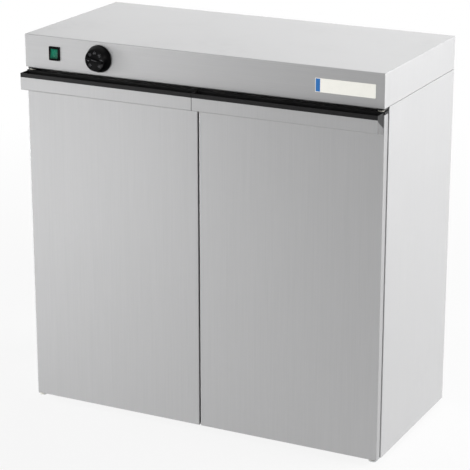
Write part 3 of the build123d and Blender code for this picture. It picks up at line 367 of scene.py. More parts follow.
def brushed_sheet(name, sheets, axis, side_axis, returns=1.0, ends=None):
    """Brushed stainless sheet whose grain follows an axis, and another on the walls that face sideways.

    The returns are a factor that darkens those walls, a painted shade. Where the ends are given as a depth,
    the walls that stand ahead of it, the lips' end walls, get a stronger painted shade and a rougher
    finish.
    """
    finish = Finish(name, Metallic=0.62)
    grain = finish.pattern(brushed_grain(), Run=grain_run(axis, sheets),
                           Side_Run=grain_run(side_axis, sheets))
    marks = finish.pattern(handling_marks(), Size=170.0 * MM)["Mask"]
    tone = finish.mix(grain["Streak"], shade(sheets.outer, 0.95), shade(sheets.outer, 1.03))
    tone = finish.stain(tone, grain["Band"], 0.15, shade(sheets.outer, 1.05))
    tone = finish.stain(tone, marks, 0.06, shade(sheets.outer, 0.80))
    # Painted shade: walls that face sideways are multiplied by the returns factor, which darkens the doors'
    # side returns
    tone = finish.darken(tone, grain["Sideways"], returns)
    rough = finish.between(grain["Streak"], 0.38, 0.44)
    if ends is not None:
        # Painted shade on the lips' end walls ahead of that depth: darkened to 0.40 of their tone and made
        # rougher
        ahead = finish.math("LESS_THAN", finish.split(finish.point)[1], ends)
        shaded_end_walls = finish.math("MULTIPLY", grain["Sideways"], ahead)
        tone = finish.darken(tone, shaded_end_walls, 0.40)
        rough = finish.raised(rough, shaded_end_walls, 0.25)
    finish.paint(tone, finish.raised(rough, marks, 0.04))
    finish.emboss(grain["Streak"], strength=0.06, depth=0.04 * MM)
    return finish.material


def mill_sheet(sheets):
    """Inner sheet as it comes from the mill: faintly cloudy, with a weak rolling grain."""
    finish = Finish("mill_sheet", Metallic=0.70)
    mottle = finish.pattern(metal_mottle(), Size=50.0 * MM)
    grain = finish.pattern(brushed_grain(), Run=grain_run("Z", sheets), Side_Run=grain_run("Z", sheets))
    dust = finish.pattern(settled_dust(), Amount=0.15)["Mask"]
    tone = finish.mix(mottle["Cloud"], shade(sheets.inner, 0.96), shade(sheets.inner, 1.03))
    tone = finish.stain(tone, grain["Band"], 0.3, shade(sheets.inner, 0.85))
    tone = finish.mix(dust, tone, (0.45, 0.43, 0.40))
    finish.paint(tone, finish.between(mottle["Cloud"], 0.36, 0.40))
    finish.emboss(mottle["Pits"], strength=0.05, depth=0.05 * MM)
    return finish.material


def textured_black(color):
    """Matt black moulding with a fine texture and a little dust on its ledges."""
    finish = Finish("textured_black", Specular_IOR_Level=0.22)
    grain = finish.pattern(moulded_grain(), Size=0.5 * MM)
    dust = finish.pattern(settled_dust(), Amount=0.03)["Mask"]
    tone = finish.mix(grain["Sheen"], shade(color, 0.8), shade(color, 1.25))
    tone = finish.mix(dust, tone, (0.20, 0.19, 0.18))
    finish.paint(tone, finish.between(grain["Sheen"], 0.46, 0.58))
    finish.emboss(grain["Grit"], strength=0.25, depth=0.08 * MM)
    return finish.material


def glossy_black(color):
    """Glossier black moulding with faint rub marks."""
    finish = Finish("glossy_black", Specular_IOR_Level=0.05)
    grain = finish.pattern(moulded_grain(), Size=0.9 * MM)
    marks = finish.pattern(handling_marks(), Size=12.0 * MM)["Mask"]
    tone = finish.mix(marks, color, shade(color, 1.8))
    finish.paint(tone, finish.raised(finish.between(grain["Sheen"], 0.26, 0.34), marks, 0.12))
    finish.emboss(grain["Grit"], strength=0.06, depth=0.03 * MM)
    return finish.material


def printed_marks(name, color):
    """Pad-printed or moulded markings, slightly worn."""
    finish = Finish(name)
    wear = finish.spread(finish.noise(finish.point, scale=900.0), 0.35, 0.65)
    tone = finish.mix(wear, shade(color, 0.75), shade(color, 1.1))
    finish.paint(tone, finish.between(wear, 0.60, 0.45))
    return finish.material


def tinted_lens(switch):
    """Tinted clear moulding with fine ribs on its inner face, lit most where its small lamp is; its base
    colour is also darkened away from the lamp as painted shade.
    """
    lamp = PIVOTS["power_rocker"] + Vector((0, 0, 2.5 * MM))
    lit_across = (5.0 * MM, 9.5 * MM)  # from the lamp, where the light starts to fall off and where it ends
    lit_upright = (4.0 * MM, 13.0 * MM)
    finish = Finish("tinted_lens", Specular_IOR_Level=0.12, Emission_Strength=switch.glow)
    ribs = finish.add("ShaderNodeTexWave", {"Vector": finish.point, "Scale": 230.0, "Distortion": 0.0},
                      bands_direction="X").outputs["Fac"]
    cloud = finish.spread(finish.noise(finish.point, scale=160.0, detail=2.0), 0.35, 0.65)
    tone = finish.mix(ribs, shade(switch.lens, 0.78), shade(switch.lens, 1.20))
    tone = finish.stain(tone, cloud, 0.25, shade(switch.lens, 1.35))
    x, _, z = finish.split(finish.point)
    # Painted shade: base colour and glow darken towards the lens's sides and ends, away from the lamp
    across = finish.math("ABSOLUTE", finish.math("SUBTRACT", x, lamp.x))
    upright = finish.math("ABSOLUTE", finish.math("SUBTRACT", z, lamp.z))
    away = finish.math("MAXIMUM", finish.spread(across, *lit_across), finish.spread(upright, *lit_upright))
    tone = finish.mix(away, tone, shade(switch.lens, 0.25))
    finish.paint(tone, finish.between(cloud, 0.22, 0.30))
    finish.feed(finish.shader.inputs["Emission Color"], tone)
    finish.emboss(ribs, strength=0.05, depth=0.05 * MM)
    return finish.material


def clouded_metal(name, tones, roughs, cloud, pit, metallic=0.9):
    """A metal whose tone and roughness run between two ends over clouds of a size, with small pits."""
    finish = Finish(name, Metallic=metallic)
    mottle = finish.pattern(metal_mottle(), Size=cloud)
    finish.paint(finish.mix(mottle["Cloud"], *tones), finish.between(mottle["Cloud"], *roughs))
    finish.emboss(mottle["Pits"], strength=0.10, depth=pit)
    return finish.material


def zinc_plate():
    """Bright zinc plating with a cloudy tone and a faint yellow and blue cast."""
    return clouded_metal("zinc_plate", ZINC, (0.26, 0.42), cloud=4.0 * MM, pit=0.03 * MM)


def drawn_metal(name, color, rough, metallic=0.9):
    """A drawn or pressed metal part with tarnish in slow patches, rougher than the bare metal."""
    tones, roughs = (shade(color, 0.75), color), (rough + 0.12, rough)
    return clouded_metal(name, tones, roughs, cloud=6.0 * MM, pit=0.04 * MM, metallic=metallic)


def hinge_plate():
    """Zinc-plated lower hinge plates, and black upper ones whose black is a painted shade for the dark gap
    under the hood.
    """
    finish = Finish("hinge_plate")
    grain = finish.pattern(moulded_grain(), Size=0.8 * MM)
    # Painted shade: the plates above the hinge pivots are black, standing in for the shade in the gap under
    # the hood
    upper = finish.math("GREATER_THAN", finish.split(finish.point)[2], PIVOTS["left_door_hinge"].z)
    plated = finish.mix(grain["Sheen"], *ZINC)
    gap_shade_black = finish.mix(grain["Sheen"], (0.012, 0.012, 0.013), (0.016, 0.016, 0.017))
    finish.paint(finish.mix(upper, plated, gap_shade_black), finish.between(grain["Sheen"], 0.38, 0.50))
    finish.feed(finish.shader.inputs["Metallic"], finish.between(upper, 0.9, 0.0))
    finish.emboss(grain["Grit"], strength=0.2, depth=0.05 * MM)
    return finish.material


def polished_wire():
    """Drawn and polished shelf wire with light scuffs where plates slide."""
    finish = Finish("polished_wire", Metallic=1.0)
    mottle = finish.pattern(metal_mottle(), Size=8.0 * MM)
    scuffs = finish.pattern(handling_marks(), Size=20.0 * MM)["Mask"]
    tone = finish.mix(mottle["Cloud"], (0.58, 0.58, 0.59), (0.70, 0.70, 0.71))
    tone = finish.stain(tone, scuffs, 0.4, (0.46, 0.45, 0.44))
    finish.paint(tone, finish.raised(0.17, scuffs, 0.25))
    finish.emboss(mottle["Pits"], strength=0.05, depth=0.02 * MM)
    return finish.material


def heated_sheath():
    """Heater sheath: dark, with straw and blue heat tint in slow patches."""
    finish = Finish("heated_sheath", Metallic=0.75)
    mottle = finish.pattern(metal_mottle(), Size=3.0 * MM)
    warm = finish.spread(finish.noise(finish.point, scale=14.0), 0.38, 0.62)
    tone = finish.mix(warm, (0.20, 0.15, 0.10), (0.13, 0.14, 0.19))
    tone = finish.stain(tone, mottle["Cloud"], 0.5, (0.07, 0.065, 0.06))
    finish.paint(tone, finish.between(mottle["Cloud"], 0.40, 0.62))
    finish.emboss(mottle["Pits"], strength=0.2, depth=0.05 * MM)
    return finish.material


def mineral_wool():
    """Loose mineral wool: tangled fibres, combed level, in uneven clumps."""
    finish = Finish("mineral_wool")
    clumps = finish.spread(finish.noise(finish.point, scale=55.0, detail=5.0, roughness=0.7), 0.3, 0.7)
    combed = finish.vector("MULTIPLY", finish.point, (300.0, 300.0, 2600.0))
    fibres = finish.spread(finish.noise(combed, scale=1.0, roughness=0.7), 0.3, 0.7)
    tone = finish.mix(clumps, (0.36, 0.29, 0.13), (0.58, 0.50, 0.28))
    tone = finish.stain(tone, fibres, 0.4, (0.70, 0.64, 0.42))
    finish.paint(tone, 0.95)
    finish.emboss(finish.raised(clumps, fibres, 0.5), strength=0.9, depth=1.2 * MM)
    return finish.material


def moulded_plain(name, color, rough):
    """A plain moulded or fired part: a fine skin, a slow change of tone and a little dirt."""
    finish = Finish(name)
    grain = finish.pattern(moulded_grain(), Size=0.8 * MM)
    dirt = finish.pattern(handling_marks(), Size=30.0 * MM)["Mask"]
    tone = finish.mix(grain["Sheen"], shade(color, 0.90), color)
    tone = finish.stain(tone, dirt, 0.4, shade(color, 0.6))
    finish.paint(tone, finish.between(grain["Sheen"], rough - 0.06, rough + 0.06))
    finish.emboss(grain["Grit"], strength=0.2, depth=0.05 * MM)
    return finish.material


def braided_sleeve():
    """Woven glass sleeve on the leads: two sets of fine crossing threads."""
    thread = 0.9 * MM
    finish = Finish("braided_sleeve")
    x, y, z = finish.split(finish.point)
    threads = []
    for slope in (1.0, -1.0):
        along = finish.math("ADD", finish.math("ADD", x, y), finish.math("MULTIPLY", z, slope))
        threads.append(finish.math("SINE", finish.math("MULTIPLY", along, 2 * pi / thread)))
    weave = finish.spread(finish.math("MAXIMUM", *threads), -0.2, 1.0)
    tone = finish.mix(weave, (0.30, 0.28, 0.23), (0.62, 0.59, 0.50))
    finish.paint(tone, finish.between(weave, 0.9, 0.75))
    finish.emboss(weave, strength=0.6, depth=0.15 * MM)
    return finish.material


def lacquered_field(name, color):
    """Pearl lacquer baked on a thin metal plate: nearly even, with faint orange peel and a few scuffs."""
    finish = Finish(name, Specular_IOR_Level=0.5, Metallic=0.88)
    peel = finish.noise(finish.point, scale=700.0, detail=1.0)
    scuffs = finish.pattern(handling_marks(), Size=18.0 * MM)["Mask"]
    finish.paint(finish.stain(color, scuffs, 0.30, shade(color, 0.82)), finish.raised(0.30, scuffs, 0.18))
    finish.emboss(peel, strength=0.04, depth=0.05 * MM)
    return finish.material


def dress(material, *names):
    """Gives CAD nodes their finish."""
    for name in names:
        NODES[name].data.materials[0] = material


def shared_black(scene):
    """The glossy black of the knob, the switch and the gland, made once."""
    return bpy.data.materials.get("glossy_black") or glossy_black(scene.warmer_mouldings.gloss)


def sides(*names):
    """Each name with its left and right ending."""
    return [f"{name}_{side}" for name in names for side in ("left", "right")]


# Shapes

def block(shape, size, centre=(0.0, 0.0, 0.0)):
    """Adds a box and returns its vertices."""
    fit = Matrix.Translation(centre) @ Matrix.Diagonal((*size, 1.0))
    return bmesh.ops.create_cube(shape, size=1.0, matrix=fit)["verts"]


def edges_of(vertices):
    """The edges that meet some vertices, each once."""
    return list(dict.fromkeys(edge for vertex in vertices for edge in vertex.link_edges))


def edges_along(vertices, axis):
    """The edges of some vertices that run along an axis."""
    run = Vector([float(letter == axis) for letter in "XYZ"])
    return [edge for edge in edges_of(vertices)
            if abs((edge.verts[0].co - edge.verts[1].co).normalized().dot(run)) > ALIGNED]


def face_towards(faces, direction):
    """The largest of the faces that look in a direction."""
    direction = Vector(direction)
    found = [face for face in faces if face.normal.dot(direction) > ALIGNED]
    return max(found, key=lambda face: face.calc_area())


def round_edges(shape, edges, offset, segments=3):
    """Bevels edges."""
    bmesh.ops.bevel(shape, geom=edges, offset=offset, offset_type="OFFSET", segments=segments,
                    profile=0.5, affect="EDGES", clamp_overlap=True, material=-1)


def spin_round(shape, geometry, steps):
    """Spins vertices and edges once round the Y axis."""
    bmesh.ops.spin(shape, geom=geometry, cent=(0, 0, 0), axis=(0, 1, 0), angle=2 * pi, steps=steps,
                   use_merge=True)
    bmesh.ops.remove_doubles(shape, verts=shape.verts, dist=TOUCHING)


def turned(shape, profile, steps=96):
    """Adds a profile of (radius, depth) points spun round the Y axis."""
    line = [shape.verts.new((radius, depth, 0.0)) for radius, depth in profile]
    edges = [shape.edges.new(pair) for pair in zip(line, line[1:])]
    spin_round(shape, line + edges, steps)


def cut(shape, point, normal):
    """Cuts the faces where a plane passes, and keeps both sides."""
    geometry = list(shape.verts) + list(shape.edges) + list(shape.faces)
    bmesh.ops.bisect_plane(shape, geom=geometry, plane_co=point, plane_no=normal, dist=TOUCHING)


def push_in(shape, face, inset, depth):
    """Insets a face, pushes the inner part along its normal (negative is inward) and returns it."""
    bmesh.ops.inset_region(shape, faces=[face], thickness=inset, use_even_offset=True)
    normal = face.normal.copy()
    moved = bmesh.ops.extrude_discrete_faces(shape, faces=[face])["faces"][0]
    bmesh.ops.translate(shape, verts=moved.verts, vec=normal * depth)
    return moved


def make_piece(name, shape, finishes, body, slot, *replaced, sharp=35):
    """Turns a finished shape into a piece that rides on a body; edges sharper than an angle stay crisp."""
    bmesh.ops.recalc_face_normals(shape, faces=shape.faces)
    mesh = bpy.data.meshes.new(name)
    shape.to_mesh(mesh)
    shape.free()
    mesh.shade_smooth()
    mesh.set_sharp_from_angle(angle=radians(sharp))
    for finish in finishes:
        mesh.materials.append(finish)
    piece = bpy.data.objects.new(name, mesh)
    bpy.context.scene.collection.objects.link(piece)
    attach(piece, body)
    if replaced:
        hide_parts(*replaced)


FIGURE = 0.7  # height of the font's numbers over its size


def letters(shape, text, height, thickness, place):
    """Adds raised letters to a shape; the place turns them from the floor plane to where they stand."""
    curve = bpy.data.curves.new("letters", "FONT")
    curve.body = text
    curve.size = height / FIGURE
    curve.extrude = thickness / 2
    curve.align_x, curve.align_y = "CENTER", "CENTER"
    source = bpy.data.objects.new("letters", curve)
    mesh = bpy.data.meshes.new_from_object(source)
    mesh.transform(place)
    shape.from_mesh(mesh)
    for spent, store in ((source, bpy.data.objects), (curve, bpy.data.curves), (mesh, bpy.data.meshes)):
        store.remove(spent)


# Operators

class CabinetOperator(bpy.types.Operator):
    """What the operators share."""

    bl_options = {"REGISTER", "UNDO"}


class WARMER_OT_outer_sheets(CabinetOperator):
    """Brushed stainless finish on the hood, the doors and the side panels."""

    bl_idname = "warmer.outer_sheets"
    bl_label = "Outer sheets"

    # Painted shade: factor that darkens the doors' side returns
    DOOR_RETURN_SHADE = 0.80
    END_SHADE_SET = 2.0 * MM  # how far ahead of the doors' insulation the painted-shade end walls of their lips start

    def execute(self, context):
        sheets = context.scene.warmer_sheets
        lip_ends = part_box("door_insulation_left")[0].y - self.END_SHADE_SET
        dress(brushed_sheet("brushed_hood", sheets, "X", "Z"), "top_hood")
        dress(brushed_sheet("brushed_panels", sheets, "Z", "Z"), *sides("side_panel"))
        doors = brushed_sheet("brushed_doors", sheets, "Z", "Z", self.DOOR_RETURN_SHADE, lip_ends)
        dress(doors, *sides("door_skin"))
        return {"FINISHED"}


class WARMER_OT_inner_sheets(CabinetOperator):
    """Mill finish on the liners, the frame sheets, the false floor, the runners and the back panel."""

    bl_idname = "warmer.inner_sheets"
    bl_label = "Inner sheets"

    def execute(self, context):
        dress(mill_sheet(context.scene.warmer_sheets), "back_panel", "base_pan", "top_rail", "deck",
              "liner_walls", "liner_ceiling", "liner_floor", "false_floor", "shelf_runners",
              *sides("door_liner", "strike_plate"))
        return {"FINISHED"}


class WARMER_OT_door_grips(CabinetOperator):
    """Fine-textured black on the door grips, their end caps and the catch housings."""

    bl_idname = "warmer.door_grips"
    bl_label = "Door grips"

    def execute(self, context):
        grip = context.scene.warmer_mouldings.grip
        dress(textured_black(grip), "catch_housings", *sides("door_grip", "grip_end_caps"))
        return {"FINISHED"}


class WARMER_OT_shelves(CabinetOperator):
    """Polished wire on the two plate shelves."""

    bl_idname = "warmer.shelves"
    bl_label = "Shelves"

    def execute(self, context):
        dress(polished_wire(), "shelf_lower", "shelf_upper")
        return {"FINISHED"}


class WARMER_OT_hardware(CabinetOperator):
    """Finishes of the hinges, catch magnets, screws, clips, terminal block, buffers and feet."""

    bl_idname = "warmer.hardware"
    bl_label = "Hinges, catches and feet"

    def execute(self, context):
        dress(zinc_plate(), "hinge_pins", "case_screws", "feet_screws", "heater_clips", "sensor_clips",
              "thermostat_shaft")
        dress(hinge_plate(), "hinge_plates")
        dress(moulded_plain("natural_nylon", (0.66, 0.64, 0.57), 0.42), "hinge_washers", "terminal_block",
              *sides("hinge_blocks"))
        dress(moulded_plain("black_rubber", (0.022, 0.022, 0.022), 0.80), "door_buffers", "feet",
              "lead_grommet")
        dress(drawn_metal("sintered_magnet", (0.10, 0.10, 0.11), 0.45, metallic=0.6), "catch_magnets")
        return {"FINISHED"}


class WARMER_OT_heater(CabinetOperator):
    """Finishes of the heater under the false floor and of its ceramic ends."""

    bl_idname = "warmer.heater"
    bl_label = "Heater"

    def execute(self, context):
        dress(heated_sheath(), "heating_element")
        dress(moulded_plain("fired_ceramic", (0.72, 0.69, 0.60), 0.55), "heater_terminals")
        return {"FINISHED"}


class WARMER_OT_insulation(CabinetOperator):
    """Mineral wool in the walls, the top, the floor and the doors."""

    bl_idname = "warmer.insulation"
    bl_label = "Insulation"

    def execute(self, context):
        dress(mineral_wool(), "insulation_back", "insulation_top", "insulation_floor",
              *sides("insulation_side", "door_insulation"))
        return {"FINISHED"}


class WARMER_OT_wiring(CabinetOperator):
    """Finishes of the thermostat, its sensor, the control terminals and the leads."""

    bl_idname = "warmer.wiring"
    bl_label = "Thermostat and wiring"

    def execute(self, context):
        dress(drawn_metal("pressed_case", (0.48, 0.48, 0.45), 0.34), "thermostat_body")
        dress(drawn_metal("brass_tags", (0.66, 0.46, 0.17), 0.28), "control_terminals")
        dress(drawn_metal("copper_capillary", (0.62, 0.28, 0.15), 0.30), "temperature_sensor")
        dress(braided_sleeve(), "internal_leads")
        return {"FINISHED"}


class WARMER_OT_thermostat_knob(CabinetOperator):
    """The tapered knob with a grip bar, a pointer line that is partly a painted highlight on the bar, and a
    ring of plain numbers.
    """

    bl_idname = "warmer.thermostat_knob"
    bl_label = "Thermostat knob"

    SHAFT, HUB, FACE = 3.05 * MM, 8.0 * MM, 23.5 * MM
    WALL, WEB, HUB_STEP, BORE = 3.0 * MM, 4.0 * MM, 0.5 * MM, 13.0 * MM
    DISH = 0.5 * MM
    RIM = 0.8 * MM
    BAR, BAR_EDGE = (39.0 * MM, 3.4 * MM, 7.4 * MM), 0.7 * MM
    CROWN = (0.95, 1.0, 0.66)  # how the bar narrows to its front
    POINTER, POINTER_EDGE = (13.0 * MM, 0.3 * MM, 1.1 * MM), 0.1 * MM
    INK = 0.16 * MM
    TICK = (0.7 * MM, INK, 1.9 * MM)
    NUMBER_RADIUS, TICK_RADIUS = 15.6 * MM, 20.0 * MM

    def execute(self, context):
        knob = context.scene.warmer_knob
        low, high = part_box("thermostat_knob")
        pivot = PIVOTS["thermostat_turn"]
        seat = Matrix.Translation((pivot.x, high.y, pivot.z))
        self.skirt = (high.x - low.x) / 2
        self.reach = high.y - low.y
        self.face = self.reach - (self.BAR[1] - 2 * self.DISH)
        black = shared_black(context.scene)
        marking = printed_marks("dial_markings", knob.marking)
        make_piece("knob_body", self.body(seat, knob.lean), [black], "knob", "black_gloss",
                   "thermostat_knob")
        make_piece("knob_numbers", self.scale(seat, knob), [marking], "knob", "black_gloss")
        make_piece("knob_pointer", self.pointer(seat, knob.lean), [marking], "knob", "black_gloss")
        return {"FINISHED"}

    def body(self, seat, lean):
        shape = bmesh.new()
        proud = self.BAR[1]
        bar = block(shape, self.BAR, (0, proud / 2 - self.reach, 0))
        crown = [vertex for vertex in bar if vertex.co.y < proud / 2 - self.reach]
        bmesh.ops.scale(shape, verts=crown, vec=self.CROWN)
        bmesh.ops.rotate(shape, verts=bar, cent=(0, 0, 0), matrix=Matrix.Rotation(lean, 3, "Y"))
        round_edges(shape, list(shape.edges), self.BAR_EDGE)
        inside, rim = self.skirt - self.WALL, self.RIM
        turned(shape, [
            (0, -self.BORE), (self.SHAFT, -self.BORE), (self.SHAFT, -self.HUB_STEP),
            (self.HUB, -self.HUB_STEP), (self.HUB, -self.WEB), (inside, -self.WEB), (inside, 0),
            (self.skirt - rim / 2, 0), (self.skirt, -rim / 2), (self.skirt, -3 * rim),
            (self.FACE + rim / 2, rim - self.face), (self.FACE, rim / 3 - self.face),
            (self.FACE - rim, -self.face), (self.FACE - 2 * rim, -self.face),
            (self.FACE - 3 * rim, self.DISH - self.face), (0, self.DISH - self.face),
        ])
        bmesh.ops.transform(shape, matrix=seat, verts=shape.verts)
        return shape

    def scale(self, seat, knob):
        """The numbers, each with a short tick outside it, spread over the sweep."""
        shape = bmesh.new()
        front = self.DISH - self.face
        for index in range(knob.count):
            turn = knob.sweep * (index / (knob.count - 1) - 0.5)
            spoke = seat @ Matrix.Rotation(turn, 4, "Y")
            place = spoke @ Matrix.Translation((0, front, self.NUMBER_RADIUS)) @ FLOOR_TO_FRONT
            letters(shape, str(knob.lowest + knob.step * index), knob.numeral, self.INK, place)
            tick = block(shape, self.TICK, (0, front, self.TICK_RADIUS))
            bmesh.ops.transform(shape, matrix=spoke, verts=tick)
        return shape

    def pointer(self, seat, lean):
        # The light pointer line sits at the middle of the bar's front, where it also stands in for a
        # painted highlight on the bar
        shape = bmesh.new()
        line = block(shape, self.POINTER, (0, -self.reach, 0))
        round_edges(shape, edges_along(line, "X"), self.POINTER_EDGE, segments=2)
        bmesh.ops.transform(shape, matrix=seat @ Matrix.Rotation(lean, 4, "Y"), verts=shape.verts)
        return shape


class WARMER_OT_power_switch(CabinetOperator):
    """The rocker switch: a black bezel with a pocket, and a hollow-fronted rocker with a green lens."""

    bl_idname = "warmer.power_switch"
    bl_label = "Power switch"

    POCKET = (20.0 * MM, 9.0 * MM, 25.2 * MM)
    CORNER, RIM_EDGE = 1.6 * MM, 0.5 * MM
    STEM_INSET = 2.6 * MM
    ROCKER, ROCKER_EDGE = (19.0 * MM, 8.0 * MM, 23.8 * MM), 0.7 * MM
    FRONT = 5.0 * MM  # how far the middle of the front stands ahead of the pivot
    HOLLOW = 1.5 * MM  # how much farther its two ends stand
    BENDS = 15  # cuts that let the front curve
    LENS_FOOT = -11.4 * MM  # lower end of the tinted part, from the pivot
    LEAN = radians(8)
    DASH = (0.7 * MM, 0.5 * MM, 4.0 * MM)
    RING, RING_WIRE = 2.0 * MM, 0.35 * MM
    MARK = 0.21  # height of the marks from the pivot, as a share of the rocker's own

    def execute(self, context):
        switch = context.scene.warmer_switch
        black = shared_black(context.scene)
        lens = tinted_lens(switch)
        make_piece("switch_housing", self.housing(), [black], "cabinet", "black_gloss", "switch_body")
        make_piece("switch_lens_rocker", self.rocker(switch.lens_height), [black, lens], "rocker",
                   "green_lamp", "switch_rocker", sharp=28)
        marks = printed_marks("lens_marks", shade(switch.lens, 1.5))
        make_piece("switch_marks", self.marks(), [marks], "rocker", "green_lamp")
        return {"FINISHED"}

    def housing(self):
        shape = bmesh.new()
        low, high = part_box("switch_body")
        centre = (low + high) / 2
        wide, tall = high.x - low.x, high.z - low.z
        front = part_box("top_hood")[0].y
        proud = front - low.y
        bezel = block(shape, (wide, proud, tall), (centre.x, low.y + proud / 2, centre.z))
        round_edges(shape, edges_along(bezel, "Y"), self.CORNER, segments=4)
        push_in(shape, face_towards(shape.faces, (0, 1, 0)), self.STEM_INSET, high.y - front)
        rim = (tall - self.POCKET[2]) / 2
        floor = push_in(shape, face_towards(shape.faces, (0, -1, 0)), rim, -self.POCKET[1])
        narrow = self.POCKET[0] / (wide - 2 * rim)
        lip = {vertex for edge in floor.edges for side in edge.link_faces for vertex in side.verts}
        bmesh.ops.scale(shape, verts=list(lip), vec=(narrow, 1, 1), space=Matrix.Translation(-centre))
        crisp = [edge for edge in shape.edges
                 if all(abs(vertex.co.y - low.y) < TOUCHING for vertex in edge.verts)]
        round_edges(shape, crisp, self.RIM_EDGE, segments=2)
        return shape

    def seated(self, shape):
        """Turns what was made round the pivot by the resting lean and takes it to its place."""
        place = Matrix.Translation(PIVOTS["power_rocker"]) @ Matrix.Rotation(-self.LEAN, 4, "X")
        bmesh.ops.transform(shape, matrix=place, verts=shape.verts)
        return shape

    def front_at(self, z):
        """How far the hollow front stands ahead of the pivot at a height above it."""
        return self.FRONT + self.HOLLOW * (2 * z / self.ROCKER[2]) ** 2

    def rocker(self, lens_height):
        shape = bmesh.new()
        wide, deep, _ = self.ROCKER
        cap = block(shape, self.ROCKER)
        bmesh.ops.subdivide_edges(shape, edges=edges_along(cap, "Z"), cuts=self.BENDS, use_grid_fill=True)
        for vertex in shape.verts:
            if vertex.co.y < 0:
                vertex.co.y = -self.front_at(vertex.co.z)
            else:
                vertex.co.y = deep - self.front_at(0)
        # The rocker's black above the lens's top is its own black and also stands in for painted shade at
        # the top of the pocket
        lens_top = self.LENS_FOOT + lens_height
        for height in (self.LENS_FOOT, lens_top):
            cut(shape, (0, 0, height), (0, 0, 1))
        for face in shape.faces:
            face.material_index = int(self.LENS_FOOT < face.calc_center_median().z < lens_top)
        rim = [edge for edge in shape.edges
               if all(vertex.co.y < 0 and abs(abs(vertex.co.x) - wide / 2) < TOUCHING
                      for vertex in edge.verts)]
        round_edges(shape, rim, self.ROCKER_EDGE)
        return self.seated(shape)

    def marks(self):
        """The moulded dash at the top end of the lens and the ring at its bottom end."""
        shape = bmesh.new()
        section = bmesh.ops.create_circle(shape, radius=self.RING_WIRE, segments=8, cap_ends=False,
                                          matrix=Matrix.Translation((self.RING, 0, 0)))["verts"]
        spin_round(shape, section + edges_of(section), steps=32)
        height = self.MARK * self.ROCKER[2]
        front = -self.front_at(height)
        bmesh.ops.translate(shape, verts=shape.verts, vec=(0, front, -height))
        block(shape, self.DASH, (0, front, height))
        return self.seated(shape)


class WARMER_OT_nameplate(CabinetOperator):
    """The blank lacquered nameplate with a plain band at its left end."""

    bl_idname = "warmer.nameplate"
    bl_label = "Nameplate"

    RIM = 0.9 * MM
    CORNER = 1.2 * MM
    SUNK = 0.15 * MM

    def execute(self, context):
        plate = context.scene.warmer_nameplate
        low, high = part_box("nameplate")
        shape = bmesh.new()
        corners = edges_along(block(shape, high - low, (low + high) / 2), "Y")
        round_edges(shape, corners, self.CORNER, segments=4)
        push_in(shape, face_towards(shape.faces, (0, -1, 0)), self.RIM, -self.SUNK)
        band_end = low.x + self.RIM + plate.band_width
        cut(shape, (band_end, 0, 0), (1, 0, 0))
        for face in shape.faces:
            middle = face.calc_center_median()
            if face.normal.y < -ALIGNED and middle.y > low.y + self.SUNK / 2:
                face.material_index = 2 if middle.x < band_end else 1
        finishes = [lacquered_field("plate_rim", shade(plate.field, 1.05)),
                    lacquered_field("plate_field", plate.field), lacquered_field("plate_band", plate.band)]
        make_piece("blank_nameplate", shape, finishes, "cabinet", "nameplate_cream", "nameplate")
        return {"FINISHED"}


class WARMER_OT_cable_gland(CabinetOperator):
    """The cable gland at the back: a hexagon with a ribbed dome nut and an open bore."""

    bl_idname = "warmer.cable_gland"
    bl_label = "Cable gland"

    BORE, NECK, WAIST, DOME = 5.0 * MM, 10.0 * MM, 11.1 * MM, 11.5 * MM
    SHOULDER = 5.0 * MM  # how far below the tip the dome starts to close
    CLOSING = ((10.3 * MM, 2.0 * MM), (8.1 * MM, 0.4 * MM))  # radius, and depth below the tip
    MOUTH = 0.5 * MM
    HEXAGON, COLLAR, HEXAGON_EDGE = 14.0 * MM, 5.0 * MM, 0.8 * MM
    RIBS, RIB_FOOT, RIB_EDGE = 18, 1.0 * MM, 0.4 * MM
    RIB_WIDE, RIB_PROUD = 1.5 * MM, 1.2 * MM

    def execute(self, context):
        low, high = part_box("cable_gland")
        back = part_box("top_hood")[1].y
        tip = high.y
        collar = back + self.COLLAR
        shoulder = tip - self.SHOULDER
        black = shared_black(context.scene)
        shape = bmesh.new()
        turned(shape, [
            (self.BORE, low.y), (self.NECK, low.y), (self.NECK, back), (self.WAIST, back),
            (self.WAIST, collar), (self.DOME, collar + self.DOME - self.WAIST), (self.DOME, shoulder),
            *((radius, tip - depth) for radius, depth in self.CLOSING),
            (self.BORE + self.MOUTH, tip), (self.BORE, tip - self.MOUTH), (self.BORE, low.y),
        ], steps=72)
        place = Matrix.Translation((0, (collar + back) / 2, 0)) @ FLOOR_TO_FRONT
        hexagon = bmesh.ops.create_cone(shape, cap_ends=True, segments=6, radius1=self.HEXAGON,
                                        radius2=self.HEXAGON, depth=self.COLLAR,
                                        matrix=place @ Matrix.Rotation(pi / 6, 4, "Z"))["verts"]
        round_edges(shape, edges_along(hexagon, "Y"), self.HEXAGON_EDGE, segments=2)
        foot = collar + self.RIB_FOOT
        for index in range(self.RIBS):
            rib = block(shape, (self.RIB_WIDE, shoulder - foot, self.RIB_PROUD),
                        (0, (shoulder + foot) / 2, self.DOME))
            turn = Matrix.Rotation(2 * pi * index / self.RIBS, 3, "Y")
            bmesh.ops.rotate(shape, verts=rib, cent=(0, 0, 0), matrix=turn)
            round_edges(shape, edges_along(rib, "Y"), self.RIB_EDGE, segments=2)
        centre = (low + high) / 2
        bmesh.ops.translate(shape, verts=shape.verts, vec=(centre.x, 0, centre.z))
        make_piece("gland_nut", shape, [black], "cabinet", "black_gloss", "cable_gland")
        dress(black, "gland_locknut")
        return {"FINISHED"}


